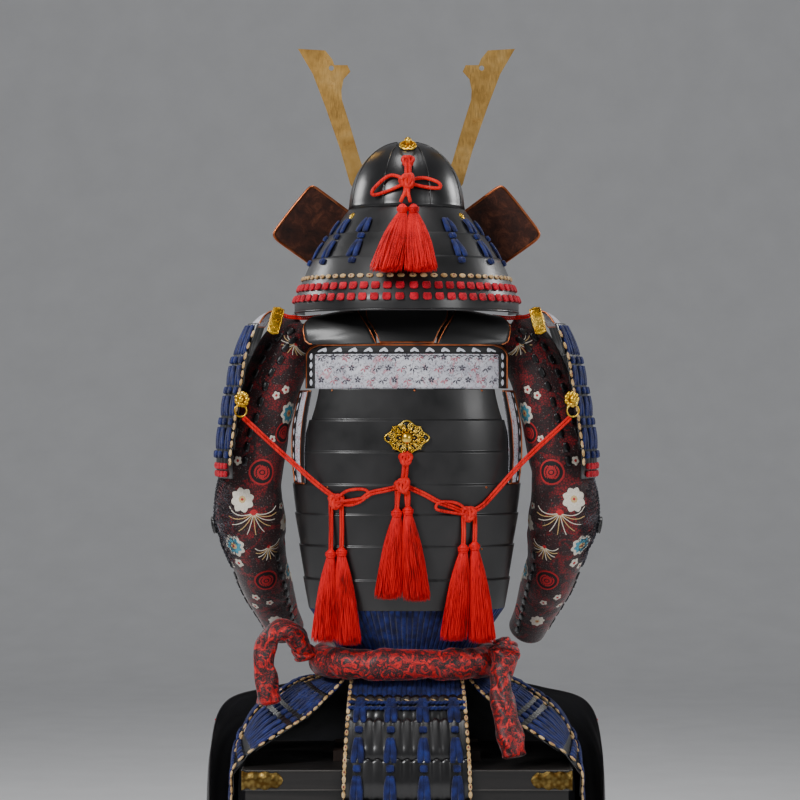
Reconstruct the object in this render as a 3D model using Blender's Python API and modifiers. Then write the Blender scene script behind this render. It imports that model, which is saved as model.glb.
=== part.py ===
"""Samurai armour on its stand and storage chest, in metres, Z up; the back of the armour faces -Y."""
import math

import bmesh
import bpy
import numpy as np
from mathutils import Matrix, Vector
from mathutils.bvhtree import BVHTree

# Walls and clearances
WALL = 0.002
GAP = 0.0003
LAME_STEP, LAME_TUCK = 0.0025, 0.002
NUDGE = 0.0001

# Chest and stand
CHEST_WIDE, CHEST_DEEP, CHEST_TOP = 0.570, 0.420, 0.460
CHEST_WALL, LID_TALL, LID_WALL, LID_LEDGE = 0.012, 0.036, 0.0055, 0.012
FOOT_SIZE = (0.26, 0.18, 0.018)
POST_WIDE = 0.035
BAR_HALF, BAR_FLAT, BAR_DEEP, BAR_TALL, BAR_SLOPE = 0.190, 0.062, 0.020, 0.030, 0.2
BAR_TOP = 1.2597
NECK_RADIUS, HEAD_RADIUS = 0.020, 0.070

# Cuirass: one row for each plate edge, from the hem up
CUIRASS_POWER = 2.6
CUIRASS = (
    # height, half width, half depth
    (0.7277, 0.176, 0.122),
    (0.7820, 0.1835, 0.128),
    (0.8415, 0.191, 0.1335),
    (0.8975, 0.1985, 0.1378),
    (0.9500, 0.2025, 0.1402),
    (1.0077, 0.204, 0.141),
    (1.0637, 0.200, 0.140),
    (1.1180, 0.190, 0.136),
)
PLATES = 7
ARMHOLE_HALF_DEEP, ARMHOLE_HALF_TALL, ARMHOLE_Z = 0.100, 0.165, 1.118
ARMHOLE_INNER, ARMHOLE_OUTER = 0.120, 0.300
PANEL_TOP, PANEL_HALF, PANEL_WALL = 1.195, 0.178, 0.003
PANEL_CORNER, PANEL_CORNER_FROM, PANEL_DEEPER, PANEL_WIDER = 0.018, 0.75, 0.0015, 0.004
WING_OUT, WING_WALL, WING_CLEAR = 0.0015, 0.0015, 0.0014
UNDERARM = (
    # share of u at the inner edge, at the outer edge, share of v
    (0.62, 0.78, 0.575),
    (0.62, 0.84, 0.70),
    (0.615, 0.86, 0.85),
    (0.61, 0.82, 0.985),
)
FITTING_Z, FITTING_WIDE, FITTING_TALL, FITTING_DEEP = 1.0325, 0.068, 0.054, 0.004
FITTING_FOUR_LOBES, FITTING_EIGHT_LOBES = 0.10, 0.06
BOSS_RADIUS, BOSS_TALL = 0.012, 0.009

STRAP = (
    # depth, height, inner x, outer x
    (-0.1375, 1.1990, 0.052, 0.168),
    (-0.130, 1.225, 0.064, 0.180),
    (-0.114, 1.250, 0.080, 0.184),
    (-0.088, 1.263, 0.086, 0.172),
    (-0.045, 1.267, 0.080, 0.156),
    (0.000, 1.267, 0.072, 0.148),
    (0.045, 1.260, 0.064, 0.142),
    (0.085, 1.235, 0.058, 0.132),
    (0.113, 1.192, 0.054, 0.120),
    (0.130, 1.150, 0.050, 0.112),
    (0.135, 1.1210, 0.050, 0.108),
)
STRAP_SLOPE, STRAP_EASE, STRAP_BOW, STRAP_WALL = 0.2, 3, 2.0, 0.004
NAPE = (
    # depth, height, half width
    (-0.139, 1.1990, 0.046),
    (-0.131, 1.225, 0.058),
    (-0.118, 1.250, 0.072),
    (-0.108, 1.285, 0.070),
)
NAPE_BOW = 0.9

# Helmet
BOWL_HALF_WIDE, BOWL_HALF_DEEP, BOWL_Z, BOWL_TALL = 0.1035, 0.118, 1.4405, 0.121
BOWL_SEAM, BOWL_RISE, BOWL_FULL, HELMET_POWER = 0.0012, math.radians(84), 0.9, 2.1
BOWL_PLATES = 8
NECK_GUARD = (
    # top height, top half width, bottom height, bottom half width, open half angle at the front
    (1.4400, 0.1035, 1.3895, 0.138, 60),
    (1.3935, 0.1392, 1.3470, 0.168, 68),
    (1.3515, 0.1687, 1.2545, 0.201, 68),
)
NECK_GUARD_DEEPER, NECK_GUARD_ROUND, NECK_GUARD_RIM_FROM = 0.015, 0.9, 0.78
BRIM_HALF_ANGLE, BRIM_OUT, BRIM_DROP, BRIM_DROOP, BRIM_INSET = 54, 0.045, 0.022, 0.010, 0.001
WING_TABLE = (
    # start x y z, bend x y z, end x y z, from the top edge down
    (-0.0925, 0.0650, 1.437, -0.104, 0.088, 1.442, -0.172, 0.068, 1.492),
    (-0.1050, 0.0730, 1.416, -0.124, 0.098, 1.405, -0.205, 0.066, 1.452),
    (-0.1190, 0.0830, 1.393, -0.156, 0.110, 1.335, -0.246, 0.062, 1.398),
)
WING_PLATE_WALL, WING_BEND, WING_BEND_SHARP, WING_CORNER = 0.003, 0.25, 30, 0.10
HORN_Y, HORN_WALL, HORN_BASE_CLEAR = 0.150, 0.002, 0.0036
HORN = (
    # x, z going round the left horn
    (-0.062, 1.458), (-0.090, 1.478), (-0.104, 1.497), (-0.122, 1.560), (-0.150, 1.640),
    (-0.173, 1.700), (-0.200, 1.746), (-0.150, 1.743), (-0.137, 1.727), (-0.133, 1.716),
    (-0.109, 1.716), (-0.1035, 1.704), (-0.116, 1.690), (-0.120, 1.670), (-0.119, 1.652),
    (-0.102, 1.598), (-0.085, 1.540), (-0.066, 1.490),
)
HORN_HOLE_X, HORN_HOLE_Z, HORN_HOLE_RADIUS = -0.1385, 1.7105, 0.0048
HORN_BASE = ((-0.100, 1.447), (-0.104, 1.470), (-0.060, 1.484), (0, 1.500))
CROWN_X, CROWN_LIFT = 0.002, 62
CROWN_RADIUS, STUD_RADIUS = 0.015, 0.006

# Sleeves: one row for each ring, from the shoulder down
SLEEVE = (
    # x, y, z, radius
    (-0.176, 0.000, 1.190, 0.040),
    (-0.210, 0.000, 1.165, 0.050),
    (-0.242, -0.002, 1.100, 0.053),
    (-0.264, -0.004, 1.020, 0.054),
    (-0.276, -0.002, 0.950, 0.056),
    (-0.283, 0.006, 0.885, 0.061),
    (-0.277, 0.030, 0.825, 0.058),
    (-0.266, 0.075, 0.768, 0.051),
    (-0.252, 0.125, 0.718, 0.044),
    (-0.238, 0.175, 0.674, 0.038),
    (-0.226, 0.212, 0.642, 0.035),
)
SLEEVE_RINGS, SLEEVE_SIDES, SLEEVE_FOLDS, SLEEVE_FOLD = 17, 14, 4, 0.0025
SLEEVE_ELBOW, SLEEVE_ELBOW_REACH, SLEEVE_FOLD_SLANT = 0.55, 0.28, 1.4

# Shoulder guards
GUARD = (
    # height, outermost x, half depth, how far the edges curve in
    (1.2320, -0.2820, 0.108, 0.022),
    (1.1800, -0.3065, 0.112, 0.028),
    (1.1350, -0.3170, 0.115, 0.031),
    (1.0900, -0.3260, 0.115, 0.032),
    (1.0450, -0.3330, 0.115, 0.033),
    (1.0000, -0.3390, 0.115, 0.033),
    (0.9600, -0.3390, 0.115, 0.033),
)
GUARD_TOP = ((-0.2260, 1.2590), (-0.2460, 1.2595), (-0.2640, 1.2520), (-0.2810, 1.2360))
GUARD_TOP_HALF, GUARD_TOP_WIDER, GUARD_TOP_BOW = 0.085, 0.023, 0.020
GUARD_EDGES = (0, 1, 2.2, 3.4, 4.7, 6)
GUARD_CORD_RADIUS, GUARD_CORD_Y, GUARD_CORD_Z = 0.0035, -0.030, 1.2465
GUARD_CORD = (
    # x, y, height over the cord's start
    (0.1800, -0.034, -0.001),
    (0.2020, -0.040, 0),
)
GUARD_CORD_TURN, GUARD_CORD_END = (0.2150, -0.043, 0.008), (-0.045, 0.0025)

# Waist
LACING_BAND = (
    # height, half width, half depth
    (0.7274, 0.1757, 0.1217),
    (0.6900, 0.1500, 0.1040),
    (0.6600, 0.1280, 0.0920),
    (0.6330, 0.1208, 0.0874),
    (0.6060, 0.1320, 0.0960),
)
WAIST_SIDES = 32
SASH_Z, SASH_HALF_WIDE, SASH_HALF_DEEP, SASH_RADIUS = 0.633, 0.1500, 0.1165, 0.0275
SASH_FOLDS, SASH_FOLD, SASH_END_FOLD = 9, 0.03, 0.0012
SASH_END_LEFT = (
    # x, y, z, radius
    (-0.196, -0.056, 0.640, 0.014),
    (-0.204, -0.070, 0.668, 0.018),
    (-0.222, -0.080, 0.690, 0.019),
    (-0.244, -0.088, 0.690, 0.019),
    (-0.262, -0.092, 0.672, 0.019),
    (-0.268, -0.093, 0.636, 0.019),
    (-0.264, -0.093, 0.600, 0.020),
    (-0.260, -0.093, 0.562, 0.022),
)
SASH_END_RIGHT = (
    (0.166, -0.112, 0.672, 0.014),
    (0.170, -0.124, 0.660, 0.022),
    (0.171, -0.136, 0.640, 0.023),
    (0.166, -0.150, 0.614, 0.018),
    (0.166, -0.166, 0.585, 0.020),
    (0.172, -0.182, 0.545, 0.022),
    (0.181, -0.194, 0.505, 0.023),
    (0.186, -0.200, 0.478, 0.021),
)

# Skirt: near edge, middle and far edge for each row, from the waist down
SKIRT_BACK = (
    (-0.100, -0.0745, 0.6057, 0, -0.096, 0.6057, 0.100, -0.0745, 0.6057),
    (-0.104, -0.118, 0.576, 0, -0.130, 0.576, 0.104, -0.118, 0.576),
    (-0.107, -0.163, 0.537, 0, -0.170, 0.537, 0.107, -0.163, 0.537),
    (-0.110, -0.204, 0.492, 0, -0.208, 0.492, 0.110, -0.204, 0.492),
    (-0.112, -0.2195, 0.455, 0, -0.2225, 0.455, 0.112, -0.2195, 0.455),
    (-0.1135, -0.2225, 0.404, 0, -0.226, 0.404, 0.1135, -0.2225, 0.404),
    (-0.115, -0.2245, 0.333, 0, -0.228, 0.333, 0.115, -0.2245, 0.333),
    (-0.116, -0.2265, 0.262, 0, -0.230, 0.262, 0.116, -0.2265, 0.262),
)
SKIRT_BACK_SIDE = (
    (-0.104, -0.0710, 0.6057, -0.1240, -0.0464, 0.6057, -0.1319, -0.012, 0.6057),
    (-0.138, -0.106, 0.573, -0.163, -0.062, 0.583, -0.178, -0.010, 0.590),
    (-0.176, -0.136, 0.540, -0.205, -0.078, 0.555, -0.225, -0.008, 0.566),
    (-0.228, -0.158, 0.509, -0.252, -0.085, 0.522, -0.270, -0.006, 0.528),
    (-0.295, -0.168, 0.462, -0.299, -0.088, 0.468, -0.301, -0.005, 0.472),
    (-0.301, -0.172, 0.410, -0.305, -0.090, 0.412, -0.307, -0.005, 0.414),
    (-0.303, -0.175, 0.350, -0.308, -0.090, 0.350, -0.310, -0.005, 0.350),
    (-0.305, -0.178, 0.290, -0.310, -0.091, 0.290, -0.312, -0.005, 0.290),
)
SKIRT_SIDE = (
    (-0.1320, 0.004, 0.6057, -0.128, 0.036, 0.6057, -0.112, 0.064, 0.6057),
    (-0.180, 0.006, 0.594, -0.174, 0.046, 0.594, -0.152, 0.082, 0.593),
    (-0.228, 0.008, 0.570, -0.222, 0.054, 0.573, -0.200, 0.098, 0.574),
    (-0.272, 0.009, 0.532, -0.270, 0.060, 0.538, -0.250, 0.110, 0.541),
    (-0.302, 0.010, 0.476, -0.304, 0.063, 0.482, -0.290, 0.116, 0.489),
    (-0.309, 0.010, 0.415, -0.314, 0.064, 0.420, -0.306, 0.118, 0.426),
    (-0.312, 0.010, 0.352, -0.318, 0.065, 0.356, -0.312, 0.119, 0.361),
    (-0.314, 0.010, 0.290, -0.321, 0.065, 0.292, -0.315, 0.120, 0.296),
)
SKIRT_FRONT = (
    (-0.003, 0.096, 0.6057, -0.055, 0.0925, 0.6057, -0.100, 0.0745, 0.6057),
    (-0.004, 0.135, 0.597, -0.068, 0.132, 0.597, -0.128, 0.108, 0.597),
    (-0.005, 0.180, 0.580, -0.080, 0.176, 0.582, -0.155, 0.142, 0.585),
    (-0.006, 0.222, 0.548, -0.088, 0.220, 0.552, -0.172, 0.178, 0.562),
    (-0.007, 0.252, 0.495, -0.093, 0.252, 0.500, -0.182, 0.215, 0.523),
    (-0.008, 0.263, 0.430, -0.096, 0.268, 0.435, -0.188, 0.250, 0.464),
    (-0.009, 0.268, 0.365, -0.098, 0.276, 0.368, -0.190, 0.268, 0.396),
    (-0.010, 0.272, 0.300, -0.099, 0.281, 0.302, -0.191, 0.276, 0.330),
)
SKIRT_EDGES = (0, 1, 2, 3.5, 5, 6, 7)
THIGH_GUARD = (
    (-0.006, 0.088, 0.597, -0.055, 0.084, 0.597, -0.097, 0.066, 0.597),
    (-0.007, 0.135, 0.580, -0.100, 0.125, 0.574, -0.165, 0.122, 0.580),
    (-0.008, 0.180, 0.553, -0.155, 0.170, 0.544, -0.250, 0.140, 0.563),
    (-0.009, 0.215, 0.512, -0.210, 0.208, 0.505, -0.335, 0.143, 0.535),
    (-0.010, 0.235, 0.445, -0.285, 0.240, 0.445, -0.362, 0.148, 0.450),
    (-0.011, 0.241, 0.300, -0.306, 0.245, 0.300, -0.366, 0.152, 0.300),
    (-0.012, 0.244, 0.120, -0.310, 0.250, 0.120, -0.368, 0.156, 0.120),
)
THIGH_WAVES, THIGH_WAVE, THIGH_WAVE_FROM, THIGH_CLEAR = 4, 0.003, 0.55, 0.0028

# Cords on the back, as x and z seen from behind; each lies on what is under it
CORD_RADIUS = 0.0045
CORD_CENTRE = ((-0.002, 1.008), (-0.002, 0.998), (-0.003, 0.983), (-0.004, 0.968), (-0.006, 0.958))
CORD_LEFT = (
    (-0.2880, 1.068), (-0.2570, 1.039), (-0.2240, 1.009), (-0.1900, 0.979), (-0.1580, 0.951),
    (-0.1295, 0.930), (-0.1080, 0.917), (-0.0850, 0.921), (-0.0650, 0.935), (-0.0400, 0.941),
    (-0.0130, 0.947),
)
CORD_RIGHT = (
    (0.2880, 1.068), (0.2570, 1.039), (0.2240, 1.009), (0.1900, 0.975), (0.1560, 0.937),
    (0.1310, 0.912), (0.1040, 0.903), (0.0780, 0.912), (0.0540, 0.921), (0.0300, 0.934),
    (0.0010, 0.947),
)
CORD_REST_DEEP = -0.108
TASSELS = (
    # name, x of the head, lean to the side, top height, head height, bottom height, half width below
    ("tassel_left_a", -0.1335, -0.0115, 0.910, 0.832, 0.680, 0.0200),
    ("tassel_left_b", -0.1145, 0.0125, 0.902, 0.836, 0.676, 0.0195),
    ("tassel_centre_a", -0.0175, -0.0145, 0.930, 0.905, 0.757, 0.0215),
    ("tassel_centre_b", 0.0020, 0.0150, 0.930, 0.909, 0.754, 0.0215),
    ("tassel_right_a", 0.0990, -0.0160, 0.886, 0.842, 0.684, 0.0215),
    ("tassel_right_b", 0.1190, 0.0130, 0.886, 0.846, 0.680, 0.0215),
)
CROWN_TASSELS = (
    # name, x of the head, x of the strands' ends
    ("crown_tassel_left", -0.0078, -0.0345),
    ("crown_tassel_right", 0.0118, 0.0240),
)
CROWN_CORD = (
    # height, radius, from the ring down to the bow and its tails
    (1.524, 0.0045), (1.508, 0.0055), (1.494, 0.0060), (1.484, 0.0085), (1.474, 0.0090), (1.468, 0.0080),
    (1.4555, 0.0125),
)
CROWN_HEAD_Z, CROWN_BOTTOM_Z, CROWN_TASSEL_HALF, CROWN_CORD_LEAVES = 1.4430, 1.3230, 0.0275, 3
TASSEL_SIDES, TASSEL_CELLS = 12, 3
DROP_RADIUS, HEAD_HALF, TASSEL_ROOM = 0.0040, 0.0080, 0.003


def linear(red, green, blue):
    """A colour seen as 0 to 255 values, as the linear values that a shader takes."""
    def one(value):
        value = value / 255
        return value / 12.92 if value <= 0.04045 else ((value + 0.055) / 1.055) ** 2.4
    return (one(red), one(green), one(blue), 1)


LOOKS = {
    # colour, roughness, metallic
    "black_lacquer": (linear(22, 20, 22), 0.32, 0),
    "blue_silk": (linear(30, 46, 112), 0.8, 0),
    "red_silk": (linear(222, 18, 16), 0.7, 0),
    "orange_silk": (linear(222, 58, 36), 0.7, 0),
    "gilt": (linear(214, 172, 52), 0.35, 1),
    "horn_brass": (linear(190, 150, 92), 0.42, 1),
    "suede": (linear(50, 26, 18), 0.95, 0),
    "printed_leather": (linear(196, 196, 206), 0.6, 0),
    "brocade": (linear(92, 16, 26), 0.8, 0),
    "sash_cloth": (linear(120, 18, 20), 0.75, 0),
    "black_cloth": (linear(20, 20, 24), 0.9, 0),
    "stand_wood": (linear(38, 24, 16), 0.6, 0),
    "chest_lacquer": (linear(22, 19, 18), 0.45, 0),
}


def clear_scene():
    for thing in list(bpy.data.objects):
        bpy.data.objects.remove(thing, do_unlink=True)
    collections = []
    for name in ("samurai_armour", "cutters"):
        group = bpy.data.collections.new(name)
        bpy.context.scene.collection.children.link(group)
        collections.append(group)
    return collections


def material(look):
    found = bpy.data.materials.get(look)
    if found:
        return found
    colour, roughness, metallic = LOOKS[look]
    made = bpy.data.materials.new(look)
    made.use_nodes = True
    shader = made.node_tree.nodes["Principled BSDF"]
    shader.inputs["Base Color"].default_value = colour
    shader.inputs["Roughness"].default_value = roughness
    shader.inputs["Metallic"].default_value = metallic
    made.diffuse_color = colour
    return made


def solid(name, points, faces, look, smooth=True):
    """A closed mesh object with its faces turned outwards."""
    mesh = bpy.data.meshes.new(name)
    mesh.from_pydata([tuple(map(float, point)) for point in points], [], faces)
    shaped = bmesh.new()
    shaped.from_mesh(mesh)
    bmesh.ops.recalc_face_normals(shaped, faces=shaped.faces[:])
    return finish_mesh(name, shaped, mesh, look, smooth)


def finish_mesh(name, shaped, mesh, look, smooth):
    for face in shaped.faces:
        face.smooth = smooth
    shaped.to_mesh(mesh)
    shaped.free()
    mesh.materials.append(material(look))
    made = bpy.data.objects.new(name, mesh)
    PARTS.objects.link(made)
    return made


def closed_wall(name, outer, inner, look, wrap=False, cap=False, smooth=True):
    """Joins an outer and an inner grid of points into one wall; cap closes the last row."""
    rows, columns = outer.shape[:2]
    points = np.concatenate([outer.reshape(-1, 3), inner.reshape(-1, 3)])

    def at(side, row, column):
        return side * rows * columns + row * columns + column % columns

    faces = []
    spans = columns if wrap else columns - 1
    for row in range(rows - 1):
        for column in range(spans):
            for side in (0, 1):
                faces.append([at(side, row, column), at(side, row, column + 1),
                              at(side, row + 1, column + 1), at(side, row + 1, column)])
    for row in (0,) if cap else (0, rows - 1):
        for column in range(spans):
            faces.append([at(0, row, column), at(1, row, column),
                          at(1, row, column + 1), at(0, row, column + 1)])
    if not wrap:
        for column in (0, columns - 1):
            for row in range(rows - 1):
                faces.append([at(0, row, column), at(1, row, column),
                              at(1, row + 1, column), at(0, row + 1, column)])
    if cap:
        for side in (0, 1):
            faces.append([at(side, rows - 1, column) for column in range(columns)])
    return solid(name, points, faces, look, smooth)


def wall(name, surface, columns, rows, look, inside, thick=WALL, wrap=False, cap=False):
    """A wall on a surface of u and v: rows are (v, raised), and the plain inside lies one wall in."""
    u, v = np.meshgrid(np.array(columns, float), np.array([row[0] for row in rows], float))
    raised = np.array([row[1] for row in rows])[:, None, None]
    base = surface(u, v)
    across = surface(u + NUDGE, v) - surface(u - NUDGE, v)
    down = surface(u, v + NUDGE) - surface(u, v - NUDGE)
    normal = np.cross(across, down)
    normal /= np.linalg.norm(normal, axis=2, keepdims=True)
    if np.sum(normal * (base - np.array(inside))) < 0:
        normal = -normal
    return closed_wall(name, base + normal * raised, base - normal * thick, look, wrap, cap)


def along(table, place):
    """A smooth curve through the rows of a table; place is 0 at the first row and 1 at the last."""
    rows = np.asarray(table, float)
    last = len(rows) - 1
    place = np.asarray(place, float) * last
    index = np.clip(np.floor(place).astype(int), 0, last - 1)
    part = (place - index)[..., None]
    before, start = rows[np.maximum(index - 1, 0)], rows[index]
    end, after = rows[index + 1], rows[np.minimum(index + 2, last)]
    return 0.5 * (2 * start + (end - before) * part
                  + (2 * before - 5 * start + 4 * end - after) * part ** 2
                  + (3 * start - before - 3 * end + after) * part ** 3)


def oval(angle, half_wide, half_deep, power=2.0):
    """x and y round an upright section; angle 0 is at the back."""
    sine, cosine = np.sin(angle), np.cos(angle)
    x = half_wide * np.sign(sine) * np.abs(sine) ** (2 / power)
    y = -half_deep * np.sign(cosine) * np.abs(cosine) ** (2 / power)
    return x, y


def lame_rows(edges, step=LAME_STEP, middle=False):
    """Rows for lames that each lap over the one before: the top edge stands out by one step."""
    rows = []
    for number, (start, end) in enumerate(zip(edges, edges[1:])):
        lip = 0.012 * (end - start) if number else 0
        rows.append((start + lip, step if number else 0))
        if middle:
            rows.append(((start + end) / 2, step / 2 if number else 0))
        rows.append((end, 0))
    return rows


def mirrored(table, triples=3):
    """The same table on the other side of the armour."""
    sign = np.ones(len(table[0]))
    sign[0:3 * triples:3] = -1
    return np.array(table, float) * sign


def draped(table):
    """A surface through three curves: near edge, middle and far edge."""
    def surface(u, v):
        rows = along(table, v)
        u = u[..., None]
        return (rows[..., 0:3] * 2 * (u - 0.5) * (u - 1) + rows[..., 3:6] * 4 * u * (1 - u)
                + rows[..., 6:9] * 2 * u * (u - 0.5))
    return surface


def box(name, size, centre, look):
    shaped = bmesh.new()
    bmesh.ops.create_cube(shaped, size=1, matrix=Matrix.Translation(centre) @ Matrix.Diagonal((*size, 1)))
    return finish_mesh(name, shaped, bpy.data.meshes.new(name), look, False)


def tray(name, size, bottom, wall_thick, floor_thick, look, upside_down=False):
    """A box with one open side: open above, or below when upside down."""
    made = box(name, size, (0, 0, bottom + size[2] / 2), look)
    shaped = bmesh.new()
    shaped.from_mesh(made.data)
    way = -1 if upside_down else 1
    mouth = max(shaped.faces, key=lambda face: way * face.calc_center_median().z)
    bmesh.ops.inset_region(shaped, faces=[mouth], thickness=wall_thick)
    sunk = bmesh.ops.extrude_face_region(shaped, geom=[mouth])["geom"]
    corners = [item for item in sunk if isinstance(item, bmesh.types.BMVert)]
    bmesh.ops.translate(shaped, verts=corners, vec=(0, 0, -way * (size[2] - floor_thick)))
    bmesh.ops.delete(shaped, geom=[mouth], context="FACES_ONLY")
    bmesh.ops.recalc_face_normals(shaped, faces=shaped.faces[:])
    shaped.to_mesh(made.data)
    shaped.free()
    return made


def from_guide(name, guide, look, smooth, place=None):
    """The closed mesh that a curve or a modifier gives; the guide itself is not kept."""
    CUTTERS.objects.link(guide)
    bpy.context.view_layer.update()
    graph = bpy.context.evaluated_depsgraph_get()
    mesh = bpy.data.meshes.new_from_object(guide.evaluated_get(graph))
    bpy.data.objects.remove(guide, do_unlink=True)
    mesh.name = name
    mesh.materials.clear()
    if place:
        mesh.transform(place)
    shaped = bmesh.new()
    shaped.from_mesh(mesh)
    bmesh.ops.remove_doubles(shaped, verts=shaped.verts[:], dist=NUDGE / 10)
    if not smooth:
        bmesh.ops.dissolve_limit(shaped, angle_limit=0.001, verts=shaped.verts[:], edges=shaped.edges[:])
    bmesh.ops.recalc_face_normals(shaped, faces=shaped.faces[:])
    return finish_mesh(name, shaped, mesh, look, smooth)


def plate(name, outline, thick, look, place):
    """A flat plate: an outline of x and z as a filled curve, with its back face at the given Y."""
    curve = bpy.data.curves.new(name, "CURVE")
    curve.dimensions = "2D"
    curve.fill_mode = "BOTH"
    curve.extrude = thick / 2
    line = curve.splines.new("POLY")
    line.points.add(len(outline) - 1)
    for point, (x, z) in zip(line.points, outline):
        point.co = (x, z, 0, 1)
    line.use_cyclic_u = True
    upright = Matrix.Translation((0, place + thick / 2, 0)) @ Matrix.Rotation(math.pi / 2, 4, "X")
    return from_guide(name, bpy.data.objects.new(name + "_guide", curve), look, False, upright)


def turned(name, profile, look, steps=16):
    """A solid turned round the upright axis from a profile of radius and height, top first."""
    profile = [(0, profile[0][1]), *profile, (0, profile[-1][1])]
    mesh = bpy.data.meshes.new(name + "_profile")
    edges = [(number, number + 1) for number in range(len(profile) - 1)]
    mesh.from_pydata([(radius, 0, height) for radius, height in profile], edges, [])
    guide = bpy.data.objects.new(name + "_guide", mesh)
    screw = guide.modifiers.new("turned", "SCREW")
    screw.steps = screw.render_steps = steps
    screw.use_merge_vertices = True
    screw.merge_threshold = NUDGE / 10
    return from_guide(name, guide, look, True)


def tube(name, path, radius, look):
    """A round cord along a path, as a bevelled curve turned into a mesh."""
    curve = bpy.data.curves.new(name, "CURVE")
    curve.dimensions = "3D"
    curve.bevel_depth = radius
    curve.bevel_resolution = 2
    curve.use_fill_caps = True
    line = curve.splines.new("POLY")
    line.points.add(len(path) - 1)
    for point, place in zip(line.points, path):
        point.co = (*map(float, place), 1)
    return from_guide(name, bpy.data.objects.new(name + "_guide", curve), look, True)


def swept(table, rings, sides, swell=None):
    """Rings square to a path through rows of x, y, z and radius; swell changes each radius."""
    place = np.linspace(0, 1, rings)
    rows = along(table, place)
    ahead = along(table, place + NUDGE)[:, :3] - along(table, place - NUDGE)[:, :3]
    ahead /= np.linalg.norm(ahead, axis=1, keepdims=True)
    first = np.cross(ahead, np.array((0.0, 1.0, 0.2)))
    first /= np.linalg.norm(first, axis=1, keepdims=True)
    second = np.cross(ahead, first)
    angle = np.linspace(0, 2 * math.pi, sides, endpoint=False)
    radius = rows[:, 3][:, None] * np.ones(sides)
    if swell:
        radius = radius + swell(place[:, None], angle[None, :])
    ring = np.cos(angle)[None, :, None] * first[:, None] + np.sin(angle)[None, :, None] * second[:, None]
    return rows[:, None, :3], ring, radius[..., None]


def rod(name, table, rings, sides, look, swell=None):
    """A filled roll of cloth along a path."""
    centre, ring, radius = swept(table, rings, sides, swell)
    points = (centre + ring * radius).reshape(-1, 3)
    faces = [list(range(sides)), [(rings - 1) * sides + step for step in range(sides)]]
    for row in range(rings - 1):
        for step in range(sides):
            after = (step + 1) % sides
            faces.append([row * sides + step, row * sides + after,
                          (row + 1) * sides + after, (row + 1) * sides + step])
    return solid(name, points, faces, look)


def evaluated(thing):
    bpy.context.view_layer.update()
    graph = bpy.context.evaluated_depsgraph_get()
    mesh = thing.evaluated_get(graph).to_mesh()
    mesh.calc_loop_triangles()
    points = [thing.matrix_world @ vertex.co for vertex in mesh.vertices]
    faces = [tuple(face.vertices) for face in mesh.loop_triangles]
    return points, faces


def room(moving, still, way):
    """How far one solid can go along a direction before it meets another."""
    points, faces = moving
    others, sides = still
    ahead = BVHTree.FromPolygons(others, sides)
    behind = BVHTree.FromPolygons(points, faces)
    found = [ahead.ray_cast(point, way)[3] for point in points]
    found += [behind.ray_cast(point, -way)[3] for point in others]
    found = [distance for distance in found if distance is not None]
    return min(found) if found else None


def seat(piece, carriers, way, clearance=GAP):
    """Moves a piece along a direction until it is one gap from what carries it."""
    way = Vector(way).normalized()
    moving = evaluated(piece)
    found = [room(moving, evaluated(carrier), way) for carrier in carriers]
    found = [distance for distance in found if distance is not None]
    if found:
        piece.data.transform(Matrix.Translation(way * (min(found) - clearance)))
    return piece


def lower(piece, names, lift=0.003):
    """Lifts a piece a little, then sets it down on the pieces named."""
    piece.data.transform(Matrix.Translation((0, 0, lift)))
    return seat(piece, [bpy.data.objects[name] for name in names], (0, 0, -1), 2 * GAP)


def cut(piece, cutter):
    """Takes a cutter away from a piece with an exact Boolean."""
    modifier = piece.modifiers.new("cut", "BOOLEAN")
    modifier.operation = "DIFFERENCE"
    modifier.solver = "EXACT"
    modifier.object = cutter
    for group in list(cutter.users_collection):
        group.objects.unlink(cutter)
    CUTTERS.objects.link(cutter)
    cutter.hide_render = True
    cutter.display_type = "WIRE"


def build_chest():
    body_top = CHEST_TOP - LID_TALL + LID_LEDGE
    body_size = (CHEST_WIDE - 2 * (LID_WALL + GAP), CHEST_DEEP - 2 * (LID_WALL + GAP))
    tray("chest_body", (*body_size, body_top), 0, CHEST_WALL, CHEST_WALL, "chest_lacquer")
    lid_floor = LID_TALL - LID_LEDGE - GAP
    tray("chest_lid", (CHEST_WIDE, CHEST_DEEP, LID_TALL), CHEST_TOP - LID_TALL, LID_WALL, lid_floor,
         "chest_lacquer", upside_down=True)


def build_stand(straps):
    foot_top = CHEST_TOP + GAP + FOOT_SIZE[2]
    box("stand_foot", FOOT_SIZE, (0, 0, foot_top - FOOT_SIZE[2] / 2), "stand_wood")
    drop = (BAR_HALF - BAR_FLAT) * BAR_SLOPE
    outline = [(-BAR_HALF, BAR_TOP - drop), (-BAR_FLAT, BAR_TOP), (BAR_FLAT, BAR_TOP),
               (BAR_HALF, BAR_TOP - drop), (BAR_HALF, BAR_TOP - drop - BAR_TALL),
               (BAR_FLAT, BAR_TOP - BAR_TALL), (-BAR_FLAT, BAR_TOP - BAR_TALL),
               (-BAR_HALF, BAR_TOP - drop - BAR_TALL)]
    bar = plate("stand_bar", outline, BAR_DEEP, "stand_wood", -BAR_DEEP / 2)
    seat(bar, straps, (0, 0, 1), 0.0024)
    top = max(vertex.co.z for vertex in bar.data.vertices)
    post_low, post_high = foot_top + GAP, top - BAR_TALL - GAP
    box("stand_post", (POST_WIDE, POST_WIDE, post_high - post_low), (0, 0, (post_low + post_high) / 2),
        "stand_wood")
    return top


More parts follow.
